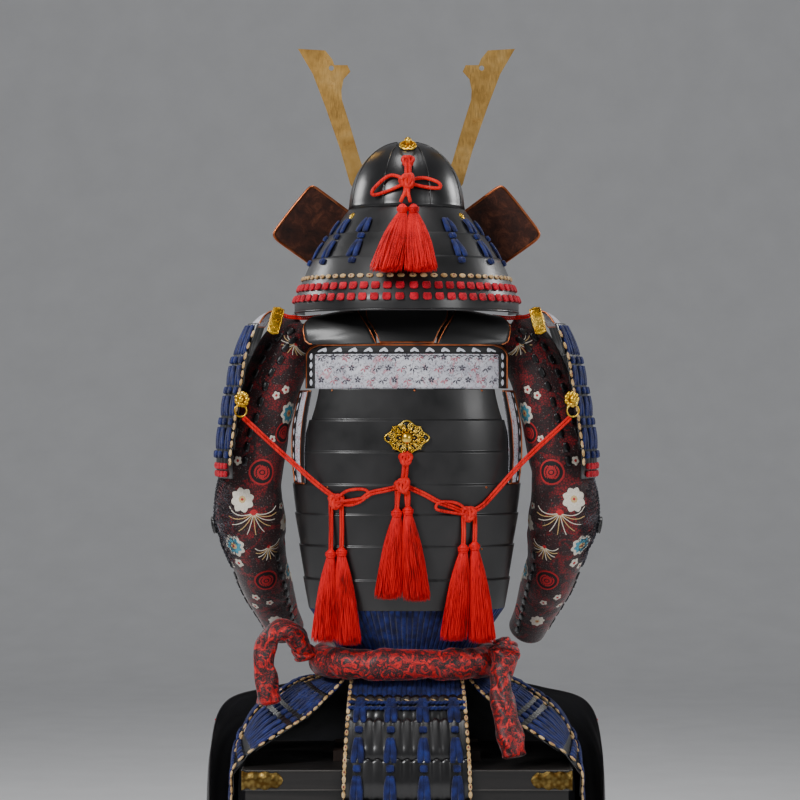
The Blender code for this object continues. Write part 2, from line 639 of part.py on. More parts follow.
def build_head_rest(bar_top):
    """A turned neck and egg-shaped head, drawn up until the helmet's bowl rests on it."""
    middle = BOWL_Z + BOWL_TALL - 2 * WALL - HEAD_RADIUS
    profile = []
    for step in range(1, 7):
        angle = math.radians(15 * step)
        profile.append((HEAD_RADIUS * math.sin(angle) * 0.9, middle + HEAD_RADIUS * math.cos(angle)))
    foot = bar_top + GAP
    profile += [(NECK_RADIUS * 1.4, middle - 0.055), (NECK_RADIUS, middle - 0.075), (NECK_RADIUS, foot)]
    head = turned("stand_head", profile, "stand_wood", 12)
    seat(head, [bpy.data.objects["helmet_bowl"]], (0, 0, 1), 2 * GAP)
    low = min(vertex.co.z for vertex in head.data.vertices)
    for vertex in head.data.vertices:
        if vertex.co.z < low + NUDGE:
            vertex.co.z = foot


def cuirass_surface(half):
    """The back (half -1) or front (half 1) of the cuirass: u from side to side, v from the hem up."""
    def surface(u, v):
        row = along(CUIRASS, v)
        angle = u * math.pi / 2
        x, y = oval(angle, row[..., 1], row[..., 2], CUIRASS_POWER)
        return np.stack([x, -half * (y - GAP / 2), row[..., 0]], axis=-1)
    return surface


def armhole_cutter(side, number):
    """An oval cylinder through one side of the cuirass."""
    length = ARMHOLE_OUTER - ARMHOLE_INNER
    place = Matrix.Translation((side * (ARMHOLE_INNER + length / 2), 0, ARMHOLE_Z))
    size = Matrix.Diagonal((ARMHOLE_HALF_TALL, ARMHOLE_HALF_DEEP, length, 1))
    shaped = bmesh.new()
    bmesh.ops.create_cone(shaped, cap_ends=True, segments=24, radius1=1, radius2=1, depth=1,
                          matrix=place @ Matrix.Rotation(math.pi / 2, 4, "Y") @ size)
    name = f"armhole_cutter_{number}"
    return finish_mesh(name, shaped, bpy.data.meshes.new(name), "suede", True)


def build_cuirass():
    edges = [1 - number / PLATES for number in range(PLATES + 1)]
    rows = []
    for start, end in zip(edges, edges[1:]):
        rows += [(start - LAME_TUCK, LAME_STEP), (end, 0)]
    rows[0] = (1, LAME_STEP)
    columns = np.linspace(-1, 1, 17)
    number = 0
    for name, half in (("cuirass_back", -1), ("cuirass_front", 1)):
        made = wall(name, cuirass_surface(half), columns, rows, "black_lacquer", (0, 0, 0.95))
        for side in (-1, 1):
            cut(made, armhole_cutter(side, number))
            number += 1
    build_underarm_wings(number)


def build_underarm_wings(number):
    """Leather that lines the edge of each armhole behind the arm, moved out from the back plates."""
    for side, name in ((-1, "underarm_left"), (1, "underarm_right")):
        base = cuirass_surface(-1)

        def surface(u, v, side=side, base=base):
            row = along(UNDERARM, v)
            place = row[..., 0] + (row[..., 1] - row[..., 0]) * u
            points = base(side * place, row[..., 2])
            lift = LAME_STEP + WING_WALL + GAP + WING_OUT
            outward = points * np.array((1, 1, 0))
            outward /= np.linalg.norm(outward, axis=-1, keepdims=True)
            return points + outward * lift
        rows = [(place, 0) for place in np.linspace(0, 1, 8)]
        made = wall(name, surface, np.linspace(0, 1, 5), rows, "printed_leather", (0, 0, 1), WING_WALL)
        seat(made, [bpy.data.objects["cuirass_back"]], (0, 1, 0), WING_CLEAR)


def panel_surface(u, v):
    """The upper back panel: u from side to side, v from the lower edge up, with rounded top corners."""
    low, half_wide, half_deep = CUIRASS[-1]
    near_top = np.clip((v - PANEL_CORNER_FROM) / (1 - PANEL_CORNER_FROM), 0, 1)
    narrow = PANEL_HALF - PANEL_CORNER * near_top ** 2
    x = u * narrow
    bend = (1 - np.abs(x / (half_wide + PANEL_WIDER)) ** CUIRASS_POWER) ** (1 / CUIRASS_POWER)
    y = -(half_deep + PANEL_DEEPER) * bend
    z = low + GAP + v * (PANEL_TOP - low - GAP)
    return np.stack([x, y, z + 0 * x], axis=-1)


def build_back_panel():
    rows = [(place, 0) for place in (0, 0.4, 0.75, 0.9, 1)]
    panel = wall("back_panel", panel_surface, np.linspace(-1, 1, 17), rows, "printed_leather", (0, 0, 1.15),
                 PANEL_WALL)
    lower(panel, ["cuirass_back"])


def strap_surface(side):
    def surface(u, v):
        row = along(STRAP, v)
        x = row[..., 2] + (row[..., 3] - row[..., 2]) * u
        level_ends = np.clip(np.sin(math.pi * np.clip(v, 0, 1)) * STRAP_EASE, 0, 1)
        z = row[..., 1] - STRAP_SLOPE * (x - row[..., 2]) * level_ends
        y = row[..., 0] + STRAP_BOW * np.clip(1 - 2 * v, 0, 1) * (x - row[..., 2]) ** 2
        return np.stack([side * x, y, z], axis=-1)
    return surface


def build_straps():
    made = []
    rows = [(place, 0) for place in np.linspace(0, 1, 13)]
    for side, name in ((-1, "strap_left"), (1, "strap_right")):
        strap = wall(name, strap_surface(side), np.linspace(0, 1, 4), rows, "black_lacquer",
                     (0, 0, 1.0), STRAP_WALL)
        made.append(lower(strap, ["back_panel", "cuirass_front"]))

    def nape(u, v):
        row = along(NAPE, v)
        x = u * row[..., 2]
        return np.stack([x, row[..., 0] + NAPE_BOW * x ** 2, row[..., 1] + 0 * x], axis=-1)
    rows = [(place, 0) for place in np.linspace(0, 1, 5)]
    nape_plate = wall("nape_plate", nape, np.linspace(-1, 1, 7), rows, "black_lacquer", (0, 0, 1.0),
                      PANEL_WALL)
    lower(nape_plate, ["back_panel"])
    return made


def build_fitting():
    """The gilt openwork plate at the middle of the back, scalloped, with a round boss."""
    outline = []
    for step in range(24):
        angle = 2 * math.pi * step / 24
        swell = 1 + FITTING_FOUR_LOBES * math.cos(4 * angle) + FITTING_EIGHT_LOBES * math.cos(8 * angle)
        outline.append((FITTING_WIDE / 2 * swell * math.cos(angle),
                        FITTING_Z + FITTING_TALL / 2 * swell * math.sin(angle)))
    made = plate("back_fitting", outline, FITTING_DEEP, "gilt", -0.20)
    shaped = bmesh.new()
    shaped.from_mesh(made.data)
    back = min((face for face in shaped.faces if len(face.verts) > 4),
               key=lambda face: face.calc_center_median().y)
    centre = Vector((0, back.calc_center_median().y, FITTING_Z))
    for share, out in ((BOSS_RADIUS / FITTING_WIDE * 2, 0), (0.9, BOSS_TALL * 0.6), (0.55, BOSS_TALL * 0.4)):
        ring = bmesh.ops.extrude_face_region(shaped, geom=[back])["geom"]
        corners = [item for item in ring if isinstance(item, bmesh.types.BMVert)]
        bmesh.ops.delete(shaped, geom=[back], context="FACES_ONLY")
        back = next(item for item in ring if isinstance(item, bmesh.types.BMFace))
        for corner in corners:
            corner.co.x = centre.x + (corner.co.x - centre.x) * share
            corner.co.z = centre.z + (corner.co.z - centre.z) * share
            corner.co.y -= out
    bmesh.ops.recalc_face_normals(shaped, faces=shaped.faces[:])
    shaped.to_mesh(made.data)
    shaped.free()
    seat(made, [bpy.data.objects["cuirass_back"]], (0, 1, 0))


def bowl_surface(u, v):
    """u turns round from the back, v rises from the rim to the crown."""
    lift = v * BOWL_RISE
    seam = np.clip(np.cos(BOWL_PLATES * u), 0, 1) ** 6 * BOWL_SEAM * np.cos(lift)
    share = np.cos(lift) ** BOWL_FULL
    x, y = oval(u, BOWL_HALF_WIDE * share + seam, BOWL_HALF_DEEP * share + seam, HELMET_POWER)
    z = BOWL_Z + BOWL_TALL * np.sin(lift) / math.sin(BOWL_RISE)
    return np.stack([x, y, z + 0 * x], axis=-1)


def build_helmet():
    turns = np.linspace(0, 2 * math.pi, 24, endpoint=False)
    outer_u, outer_v = np.meshgrid(turns, np.array((0, 0.18, 0.36, 0.54, 0.72, 0.88, 1)))
    outer = bowl_surface(outer_u, outer_v)
    centre = np.array((0, 0, BOWL_Z))
    inner = outer - centre
    length = np.linalg.norm(inner, axis=-1, keepdims=True)
    inner = centre + inner * (length - WALL - BOWL_SEAM * np.array((1, 1, 0))) / length
    inner[0, :, 2] = outer[0, :, 2]
    closed_wall("helmet_bowl", outer, inner, "black_lacquer", wrap=True, cap=True)
    build_neck_guard()
    build_brim()
    for side, name in ((-1, "fukigaeshi_left"), (1, "fukigaeshi_right")):
        build_wing_plate(side, name)
    build_crest()


def build_neck_guard():
    """Three flared rings; the lowest ends in an upright rim band."""
    rows = {1: (0, 0.33, 0.67, 1), 2: (0, 0.3, 0.65, 1), 3: (0, 0.22, 0.46, 0.74, 0.80, 1)}
    for number, (top, top_half, bottom, bottom_half, opening) in enumerate(NECK_GUARD, 1):
        def surface(u, v, top=top, top_half=top_half, bottom=bottom, bottom_half=bottom_half):
            full = NECK_GUARD_RIM_FROM if bottom == NECK_GUARD[-1][2] else 1
            flare = np.clip(v / full, 0, 1) ** NECK_GUARD_ROUND
            half = top_half + (bottom_half - top_half) * flare
            x, y = oval(u, half, half + NECK_GUARD_DEEPER, HELMET_POWER)
            return np.stack([x, y, top + (bottom - top) * v + 0 * x], axis=-1)
        reach = math.pi - math.radians(opening)
        levels = [(place, 0) for place in rows[number]]
        made = wall(f"neck_guard_{number}", surface, np.linspace(-reach, reach, 23), levels, "black_lacquer",
                    (0, 0, 1.40))
        if number > 1:
            seat(made, [bpy.data.objects[f"neck_guard_{number - 1}"]], (0, 0, 1), 3 * GAP)


def build_brim():
    def surface(u, v):
        out = BRIM_OUT * v
        x, y = oval(u, BOWL_HALF_WIDE - BRIM_INSET + out * np.cos(u - math.pi) ** 0.7,
                    BOWL_HALF_DEEP - BRIM_INSET + out, HELMET_POWER)
        z = BOWL_Z - GAP - BRIM_INSET - BRIM_DROP * v ** 1.3 - BRIM_DROOP * v * np.abs(np.sin(u))
        return np.stack([x, y, z + 0 * x], axis=-1)
    half = math.radians(BRIM_HALF_ANGLE)
    columns = np.linspace(math.pi - half, math.pi + half, 15)
    rows = [(place, 0) for place in (0.001, 0.35, 0.7, 1)]
    brim = wall("helmet_brim", surface, columns, rows, "black_lacquer", (0, 0, 1.2))
    seat(brim, [bpy.data.objects["helmet_bowl"]], (0, 0, 1))


def build_wing_plate(side, name):
    """A turned back wing of the neck guard, with rounded corners on its outer edge."""
    def surface(u, v):
        row = along(WING_TABLE, v)
        short = 1 - WING_CORNER * np.abs(2 * v - 1) ** 8
        start, bend, end = row[..., 0:3], row[..., 3:6], row[..., 6:9]
        end = bend + (end - bend) * short[..., None]
        u = u[..., None]
        first = start + (bend - start) * np.clip(u / WING_BEND, None, 1)
        second = bend + (end - bend) * (u - WING_BEND) / (1 - WING_BEND)
        soft = 1 / (1 + np.exp(-(u - WING_BEND) * WING_BEND_SHARP))
        return (first * (1 - soft) + second * soft) * np.array((-side, 1, 1))
    columns = (0, 0.18, 0.26, 0.36, 0.65, 1)
    rows = [(place, 0) for place in (0, 0.05, 0.25, 0.5, 0.75, 0.95, 1)]
    made = wall(name, surface, columns, rows, "suede", (0, 0, 1.1), WING_PLATE_WALL)
    seat(made, [bpy.data.objects["neck_guard_1"]], (0, -1, 0))


def build_crest():
    """The two flat horns, the plate that holds them, and the ring and stud at the crown."""
    base_outline = list(HORN_BASE) + [(-x, z) for x, z in HORN_BASE[-2::-1]]
    base = plate("horn_base", base_outline, HORN_WALL, "gilt", HORN_Y - HORN_WALL - GAP)
    for side, name in ((-1, "horn_left"), (1, "horn_right")):
        outline = [(-side * x, z) for x, z in HORN]
        made = plate(name, outline, HORN_WALL, "horn_brass", HORN_Y)
        hole = []
        for step in range(12):
            angle = 2 * math.pi * step / 12
            hole.append((-side * HORN_HOLE_X + HORN_HOLE_RADIUS * math.cos(angle),
                         HORN_HOLE_Z + HORN_HOLE_RADIUS * math.sin(angle)))
        cut(made, plate(f"horn_hole_{name}", hole, 0.01, "suede", HORN_Y - 0.004))
    bowl, brim = bpy.data.objects["helmet_bowl"], bpy.data.objects["helmet_brim"]
    before = min(vertex.co.y for vertex in base.data.vertices)
    seat(base, [bowl, brim], (0, -1, 0), HORN_BASE_CLEAR)
    shift = min(vertex.co.y for vertex in base.data.vertices) - before
    for name in ("horn_left", "horn_right", "horn_hole_horn_left", "horn_hole_horn_right"):
        bpy.data.objects[name].data.transform(Matrix.Translation((0, shift, 0)))
    build_crown(bowl)


def build_crown(bowl):
    profile = ((STUD_RADIUS * 0.5, 0.012), (STUD_RADIUS, 0.010), (STUD_RADIUS, 0.004),
               (CROWN_RADIUS * 0.75, 0.0035), (CROWN_RADIUS, 0.002), (CROWN_RADIUS, 0),
               (CROWN_RADIUS * 0.6, -0.001))
    ring = turned("crown_ring", profile, "gilt", 14)
    lift = math.radians(CROWN_LIFT)
    way = Vector((0, -math.cos(lift), math.sin(lift)))
    turn = Vector((0, 0, 1)).rotation_difference(way).to_matrix().to_4x4()
    place = Vector((CROWN_X, 0, BOWL_Z)) + way * 0.2
    ring.data.transform(Matrix.Translation(place) @ turn)
    seat(ring, [bowl], -way)


def sleeve_swell(place, angle):
    """Soft folds round the sleeve, strongest at the bend of the elbow."""
    near = np.exp(-((place - SLEEVE_ELBOW) / SLEEVE_ELBOW_REACH) ** 2)
    slant = SLEEVE_FOLD_SLANT * np.sin(angle)
    return SLEEVE_FOLD * near * np.sin(2 * math.pi * SLEEVE_FOLDS * place + slant)


def build_sleeves():
    for side, name in ((1, "sleeve_left"), (-1, "sleeve_right")):
        table = [(side * x, y, z, radius) for x, y, z, radius in SLEEVE]
        centre, ring, radius = swept(table, SLEEVE_RINGS, SLEEVE_SIDES, sleeve_swell)
        closed_wall(name, centre + ring * radius, centre + ring * (radius - WALL), "brocade", wrap=True)


def guard_surface(side):
    def surface(u, v):
        row = along(GUARD, v)
        x = row[..., 1] + row[..., 3] * u ** 2
        return np.stack([-side * x, u * row[..., 2], row[..., 0] + 0 * x], axis=-1)
    return surface


def build_shoulder_guards():
    edges = [number / (len(GUARD) - 1) for number in GUARD_EDGES]
    for side, word in ((-1, "left"), (1, "right")):
        columns = np.linspace(-1, 1, 9)
        wall(f"sode_{word}", guard_surface(side), columns, lame_rows(edges), "blue_silk", (0, 0, 1.1))

        def top(u, v, side=side):
            row = along(GUARD_TOP, v)
            x = row[..., 0] + GUARD_TOP_BOW * u ** 2 * v
            half = GUARD_TOP_HALF + GUARD_TOP_WIDER * v
            return np.stack([-side * x, u * half, row[..., 1] + 0 * x], axis=-1)
        rows = [(place, 0) for place in (0, 0.3, 0.65, 1)]
        cap = wall(f"sode_top_{word}", top, columns, rows, "black_lacquer", (side * 0.25, 0, 1.1))
        guard = bpy.data.objects[f"sode_{word}"]
        seat(cap, [guard], (0, 0, -1))


def build_guard_cords():
    """Each shoulder guard hangs by a cord from the outer edge of its strap."""
    for side, word in ((-1, "left"), (1, "right")):
        cap = bpy.data.objects[f"sode_top_{word}"]
        strap = bpy.data.objects[f"strap_{word}"]
        inner = min(abs(vertex.co.x) for vertex in cap.data.vertices)
        level = max(vertex.co.z for vertex in cap.data.vertices)
        points, faces = evaluated(strap)
        tree = BVHTree.FromPolygons(points, faces)
        inward = Vector((-side, 0, 0))
        met = [tree.ray_cast(Vector((side * 0.3, GUARD_CORD_Y, GUARD_CORD_Z + rise)), inward)[0]
               for rise in (0, 0.002, 0.004)]
        start_x = max(abs(hit.x) for hit in met if hit) + 3 * GAP
        path = [(start_x, GUARD_CORD_Y, GUARD_CORD_Z + 0.002)]
        path += [(x, y, GUARD_CORD_Z + rise) for x, y, rise in GUARD_CORD]
        turn_x, turn_y, turn_drop = GUARD_CORD_TURN
        end_y, end_drop = GUARD_CORD_END
        path += [(turn_x, turn_y, level - turn_drop), (inner - 2 * GAP, end_y, level - end_drop)]
        cord = tube(f"sode_cord_{word}", [(side * x, y, z) for x, y, z in path], GUARD_CORD_RADIUS,
                    "orange_silk")
        names = ("stand_bar", "cuirass_back", "cuirass_front", "neck_guard_3")
        around = [bpy.data.objects[name] for name in names]
        sleeve = seat(bpy.data.objects[f"sleeve_{word}"], [cord, strap, *around], (0, 0, 1), 0.0020)
        seat(sleeve, [bpy.data.objects[f"sode_{word}"]], (side, 0, 0), 3 * GAP)


def build_waist():
    def band(u, v):
        row = along(LACING_BAND, v)
        x, y = oval(u, row[..., 1], row[..., 2], CUIRASS_POWER)
        return np.stack([x, y, row[..., 0] + 0 * x], axis=-1)
    turns = np.linspace(0, 2 * math.pi, WAIST_SIDES, endpoint=False)
    u, v = np.meshgrid(turns, np.linspace(0, 1, len(LACING_BAND)))
    outer = band(u, v)
    inward = outer * np.array((1, 1, 0))
    inward /= np.linalg.norm(inward, axis=-1, keepdims=True)
    closed_wall("waist_lacing", outer, outer - inward * WALL, "blue_silk", wrap=True)
    build_sash()


def build_sash():
    turns = np.linspace(0, 2 * math.pi, WAIST_SIDES, endpoint=False)
    around = np.linspace(0, 2 * math.pi, 8, endpoint=False)
    points, faces = [], []
    for number, turn in enumerate(turns):
        for angle in around:
            fold = 1 + SASH_FOLD * math.sin(SASH_FOLDS * turn + 2 * angle)
            reach = SASH_RADIUS * math.cos(angle) * fold
            x, y = oval(np.array(turn), SASH_HALF_WIDE + reach, SASH_HALF_DEEP + reach, CUIRASS_POWER)
            points.append((float(x), float(y), SASH_Z + SASH_RADIUS * math.sin(angle) * fold))
    for turn in range(len(turns)):
        for angle in range(len(around)):
            after, beside = (turn + 1) % len(turns), (angle + 1) % len(around)
            faces.append([turn * len(around) + angle, after * len(around) + angle,
                          after * len(around) + beside, turn * len(around) + beside])
    sash = solid("sash", points, faces, "sash_cloth")

    def knot(place, angle):
        return SASH_END_FOLD * np.sin(SASH_FOLDS * place + 3 * angle)
    left = rod("sash_end_left", SASH_END_LEFT, 14, 8, "sash_cloth", knot)
    seat(left, [sash], (1, 0, 0))
    right = rod("sash_end_right", SASH_END_RIGHT, 14, 8, "sash_cloth", knot)
    seat(right, [sash, bpy.data.objects["skirt_right_back"]], (0, 1, 0))


def build_skirt():
    edges = [edge / SKIRT_EDGES[-1] for edge in SKIRT_EDGES]
    inside = (0, 0, 0.45)
    columns = np.linspace(0, 1, 5)
    rows = lame_rows(edges, middle=True)
    tables = {"skirt_back": SKIRT_BACK}
    for word, turn in (("left", False), ("right", True)):
        for part, table in (("back", SKIRT_BACK_SIDE), ("side", SKIRT_SIDE), ("front", SKIRT_FRONT)):
            tables[f"skirt_{word}_{part}"] = mirrored(table) if turn else table
    for name, table in tables.items():
        wall(name, draped(table), columns, rows, "blue_silk", inside)


def build_thigh_guards():
    fronts = [bpy.data.objects["skirt_left_front"], bpy.data.objects["skirt_right_front"]]
    for side, name in ((-1, "haidate_left"), (1, "haidate_right")):
        base = draped(THIGH_GUARD if side < 0 else mirrored(THIGH_GUARD))

        def surface(u, v, base=base):
            growing = np.clip(v - THIGH_WAVE_FROM, 0, None) * 2
            wave = THIGH_WAVE * growing * np.sin(2 * math.pi * THIGH_WAVES * u)
            return base(u, v) + wave[..., None] * np.array((0.3, 1, 0))
        rows = [(place, 0) for place in (0, 0.12, 0.25, 0.38, 0.5, 0.6, 0.7, 0.85, 1)]
        made = wall(name, surface, np.linspace(0, 1, 11), rows, "black_cloth", (0, 0, 0.2))
        seat(made, fronts, (0, 0, 1), THIGH_CLEAR)


def front_of(carriers, x, z, reach):
    """The most forward Y, seen from behind, of what lies round a place on the back."""
    found = []
    for points, faces in carriers:
        tree = BVHTree.FromPolygons(points, faces)
        for side in (-1, -0.5, 0, 0.5, 1):
            for rise in (-1, 0, 1):
                hit = tree.ray_cast(Vector((x + side * reach, -1, z + rise * reach)), Vector((0, 1, 0)))[0]
                if hit:
                    found.append(hit.y)
    return min(found) if found else None


def lying(outline, carriers, radius, rest):
    """A path along x and z lifted clear of what it lies on; where nothing is behind, it hangs at rest."""
    path = []
    for x, z in outline:
        y = front_of(carriers, x, z, radius)
        path.append([x, rest if y is None else y - radius - 3 * GAP, z])
    return path


def build_cords():
    names = ("cuirass_back", "underarm_left", "underarm_right", "back_fitting")
    carriers = [evaluated(bpy.data.objects[name]) for name in names]
    back = bpy.data.objects["cuirass_back"]
    made = {}
    for name, outline in (("cord_left", CORD_LEFT), ("cord_right", CORD_RIGHT)):
        path = lying(outline, carriers, CORD_RADIUS, CORD_REST_DEEP)
        start = path[0]
        for number in range(1, 4):
            share = number / 4
            path[number][1] = min(path[number][1], start[1] + (path[4][1] - start[1]) * share)
        made[name] = tube(name, path, CORD_RADIUS, "orange_silk")
    seat(made["cord_left"], [back], (0, 1, 0))
    seat(made["cord_right"], [back], (0, 1, 0))
    centre = lying(CORD_CENTRE, carriers, CORD_RADIUS * 1.4, CORD_REST_DEEP)
    tube("cord_centre", centre, CORD_RADIUS * 1.4, "orange_silk")


def build_tassel(name, x, y, top, head, bottom, half, lean=(0, 0)):
    """A drop cord, a bound head and loose strands, all one body; lean moves the strands' ends."""
    cells = TASSEL_CELLS
    edge = [(-1 + 2 * step / cells, -1) for step in range(cells)]
    edge += [(1, -1 + 2 * step / cells) for step in range(cells)]
    edge += [(1 - 2 * step / cells, 1) for step in range(cells)]
    edge += [(-1, 1 - 2 * step / cells) for step in range(cells)]

    def rounded(s, t):
        return s * math.sqrt(1 - t * t / 2), t * math.sqrt(1 - s * s / 2)
    rings = [(DROP_RADIUS, top, 0), (DROP_RADIUS, head + 0.010, 0), (HEAD_HALF, head + 0.005, 0),
             (HEAD_HALF * 0.85, head - 0.010, 0), (HEAD_HALF * 1.15, head - 0.020, 0.02)]
    tall = head - 0.020 - bottom
    points, faces = [], []
    sides = len(edge)
    for radius, height, share in rings:
        for s, t in edge:
            across, deep = rounded(s, t)
            points.append((x + radius * across, y + radius * deep, height))
    for row in range(len(rings) - 1):
        for step in range(sides):
            after = (step + 1) % sides
            faces.append([row * sides + step, row * sides + after,
                          (row + 1) * sides + after, (row + 1) * sides + step])
    faces.append(list(range(sides)))
    grid, first = {}, (len(rings) - 1) * sides
    for number, (s, t) in enumerate(edge):
        grid[(round((s + 1) * cells / 2), round((t + 1) * cells / 2))] = first + number
    low = rings[-1]
    for column in range(1, cells):
        for row in range(1, cells):
            across, deep = rounded(-1 + 2 * column / cells, -1 + 2 * row / cells)
            grid[(column, row)] = len(points)
            points.append((x + low[0] * across, y + low[0] * deep, low[1]))
    for column in range(cells):
        for row in range(cells):
            corners = [grid[(column, row)], grid[(column + 1, row)],
                       grid[(column + 1, row + 1)], grid[(column, row + 1)]]
            middle = [sum(points[corner][axis] for corner in corners) / 4 for axis in range(3)]
            s, t = (column + 0.5) * 2 / cells - 1, (row + 0.5) * 2 / cells - 1
            across, deep = rounded(s, t)
            roots, ends = [], []
            for corner in corners:
                offset = [(points[corner][axis] - middle[axis]) * 0.86 for axis in range(2)]
                roots.append(len(points))
                points.append((middle[0] + offset[0], middle[1] + offset[1], middle[2]))
            for corner in corners:
                spread = half / low[0]
                offset = [(points[corner][axis] - middle[axis]) * 0.86 * spread for axis in range(2)]
                ends.append(len(points))
                points.append((x + lean[0] + half * across + offset[0],
                               y + lean[1] + half * 0.8 * deep + offset[1] * 0.8,
                               bottom + 0.004 * ((column + 2 * row) % 3)))
            for number in range(4):
                after = (number + 1) % 4
                faces.append([corners[number], corners[after], roots[after], roots[number]])
                faces.append([roots[number], roots[after], ends[after], ends[number]])
            faces.append(ends)
    return solid(name, points, faces, "red_silk")


def reach_up(piece, holders, level):
    """Draws the top end of a hanging piece up to the cord that holds it."""
    ends = [vertex for vertex in piece.data.vertices if vertex.co.z > level - NUDGE]
    rises = []
    for holder in holders:
        tree = BVHTree.FromPolygons(*evaluated(holder))
        for vertex in ends:
            distance = tree.ray_cast(vertex.co, Vector((0, 0, 1)))[3]
            if distance is not None:
                rises.append(distance)
    if rises:
        for vertex in ends:
            vertex.co.z += min(rises) - 2 * GAP


def build_tassels():
    back_names = ("cuirass_back", "waist_lacing", "sash", "underarm_left", "underarm_right", "cord_left",
                  "cord_right", "cord_centre")
    carriers = [bpy.data.objects[name] for name in back_names]
    holders = carriers[-3:]
    for name, x, lean, top, head, bottom, half in TASSELS:
        made = build_tassel(name, x, -0.30, top, head, bottom, half, (lean, 0))
        seat(made, carriers, (0, 1, 0), TASSEL_ROOM)
        reach_up(made, holders, top)


def build_crown_cord_and_tassels():
    """The cord from the crown ring down the bowl, and its two tassels over the neck guard."""
    names = ("helmet_bowl", "neck_guard_1", "neck_guard_2", "neck_guard_3", "crown_ring")
    still = [bpy.data.objects[name] for name in names]
    meshes = [evaluated(thing) for thing in still]
    guard = front_of(meshes, 0, CROWN_BOTTOM_Z, 0.02)
    head_y = front_of(meshes, 0, CROWN_HEAD_Z, 0.01)
    top = CROWN_HEAD_Z + 0.006
    tassels = []
    for name, x, low_x in CROWN_TASSELS:
        made = build_tassel(name, x, head_y - 0.02, top, CROWN_HEAD_Z - 0.006, CROWN_BOTTOM_Z,
                            CROWN_TASSEL_HALF, (low_x - x, guard - head_y - 0.004))
        seat(made, still, (0, 1, 0), TASSEL_ROOM)
        tassels.append(made)
    outline = [(CROWN_X, z) for z, radius in CROWN_CORD]
    path = lying(outline, meshes, CORD_RADIUS * 2, 0)
    ends = [vertex.co.y for vertex in tassels[0].data.vertices if vertex.co.z > top - NUDGE]
    start, end = path[CROWN_CORD_LEAVES][1], sum(ends) / len(ends)
    for number in range(CROWN_CORD_LEAVES, len(path)):
        share = (number - CROWN_CORD_LEAVES) / (len(path) - 1 - CROWN_CORD_LEAVES)
        path[number][1] = start + (end - start) * share
    rows = [(*place, row[1]) for place, row in zip(path, CROWN_CORD)]
    cord = rod("crown_cord", rows, 12, 8, "orange_silk")
    seat(cord, still, (0, 1, 0), 2 * GAP)
    for made in tassels:
        reach_up(made, [cord], top)


PARTS, CUTTERS = clear_scene()
build_chest()
build_cuirass()
build_back_panel()
straps = build_straps()
bar_top = build_stand(straps)
build_fitting()
build_helmet()
build_head_rest(bar_top)
build_sleeves()
build_shoulder_guards()
build_guard_cords()
build_skirt()
build_waist()
build_thigh_guards()
build_cords()
build_tassels()
build_crown_cord_and_tassels()
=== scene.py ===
"""The looks of the samurai armour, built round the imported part, in metres, Z up; its back faces -Y."""

import math

import bmesh
import bpy
import numpy as np
from mathutils import Matrix, Vector
from mathutils.bvhtree import BVHTree


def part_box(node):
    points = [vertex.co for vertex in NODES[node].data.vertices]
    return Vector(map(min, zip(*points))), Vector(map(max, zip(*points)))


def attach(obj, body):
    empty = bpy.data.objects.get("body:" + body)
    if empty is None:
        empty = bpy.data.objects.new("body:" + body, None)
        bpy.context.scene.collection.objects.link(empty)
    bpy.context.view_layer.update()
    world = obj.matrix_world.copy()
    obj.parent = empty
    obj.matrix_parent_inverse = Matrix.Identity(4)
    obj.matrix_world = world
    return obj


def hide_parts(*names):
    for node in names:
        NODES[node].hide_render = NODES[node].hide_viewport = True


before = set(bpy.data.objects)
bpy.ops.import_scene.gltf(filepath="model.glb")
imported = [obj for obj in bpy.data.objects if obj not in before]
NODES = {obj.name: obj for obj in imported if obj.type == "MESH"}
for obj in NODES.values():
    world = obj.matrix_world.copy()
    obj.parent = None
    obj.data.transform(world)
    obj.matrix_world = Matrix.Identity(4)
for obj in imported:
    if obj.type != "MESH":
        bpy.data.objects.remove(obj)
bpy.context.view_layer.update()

# Camera and light
CAMERA_PLACE, CAMERA_LENS, CAMERA_SENSOR = (-0.012, -5.1, 1.0988), 127.5, 36
FLOOR_HALF, FLOOR_BACK, FLOOR_RISE, FLOOR_BEND = 16.0, 8.5, 9.0, 3.0

# Walls
WALL = 0.002
GAP = 0.0003
LAME_STEP = 0.0025
NUDGE = 0.0001

# Cuirass: one row for each plate edge, from the hem up
CUIRASS_POWER = 2.6
CUIRASS = (
    # height, half width, half depth
    (0.7277, 0.176, 0.122),
    (0.7820, 0.1835, 0.128),
    (0.8415, 0.191, 0.1335),
    (0.8975, 0.1985, 0.1378),
    (0.9500, 0.2025, 0.1402),
    (1.0077, 0.204, 0.141),
    (1.0637, 0.200, 0.140),
    (1.1180, 0.190, 0.136),
)
PLATES = 7
ARMHOLE_HALF_DEEP, ARMHOLE_HALF_TALL, ARMHOLE_Z = 0.100, 0.165, 1.118
ARMHOLE_INNER, ARMHOLE_OUTER = 0.120, 0.300
PANEL_TOP, PANEL_HALF, PANEL_WALL = 1.195, 0.178, 0.003
WING_OUT, WING_WALL = 0.0015, 0.0015
UNDERARM = (
    # share of u at the inner edge, at the outer edge, share of v
    (0.62, 0.78, 0.575),
    (0.62, 0.84, 0.70),
    (0.615, 0.86, 0.85),
    (0.61, 0.82, 0.985),
)
FITTING_Z = 1.0325
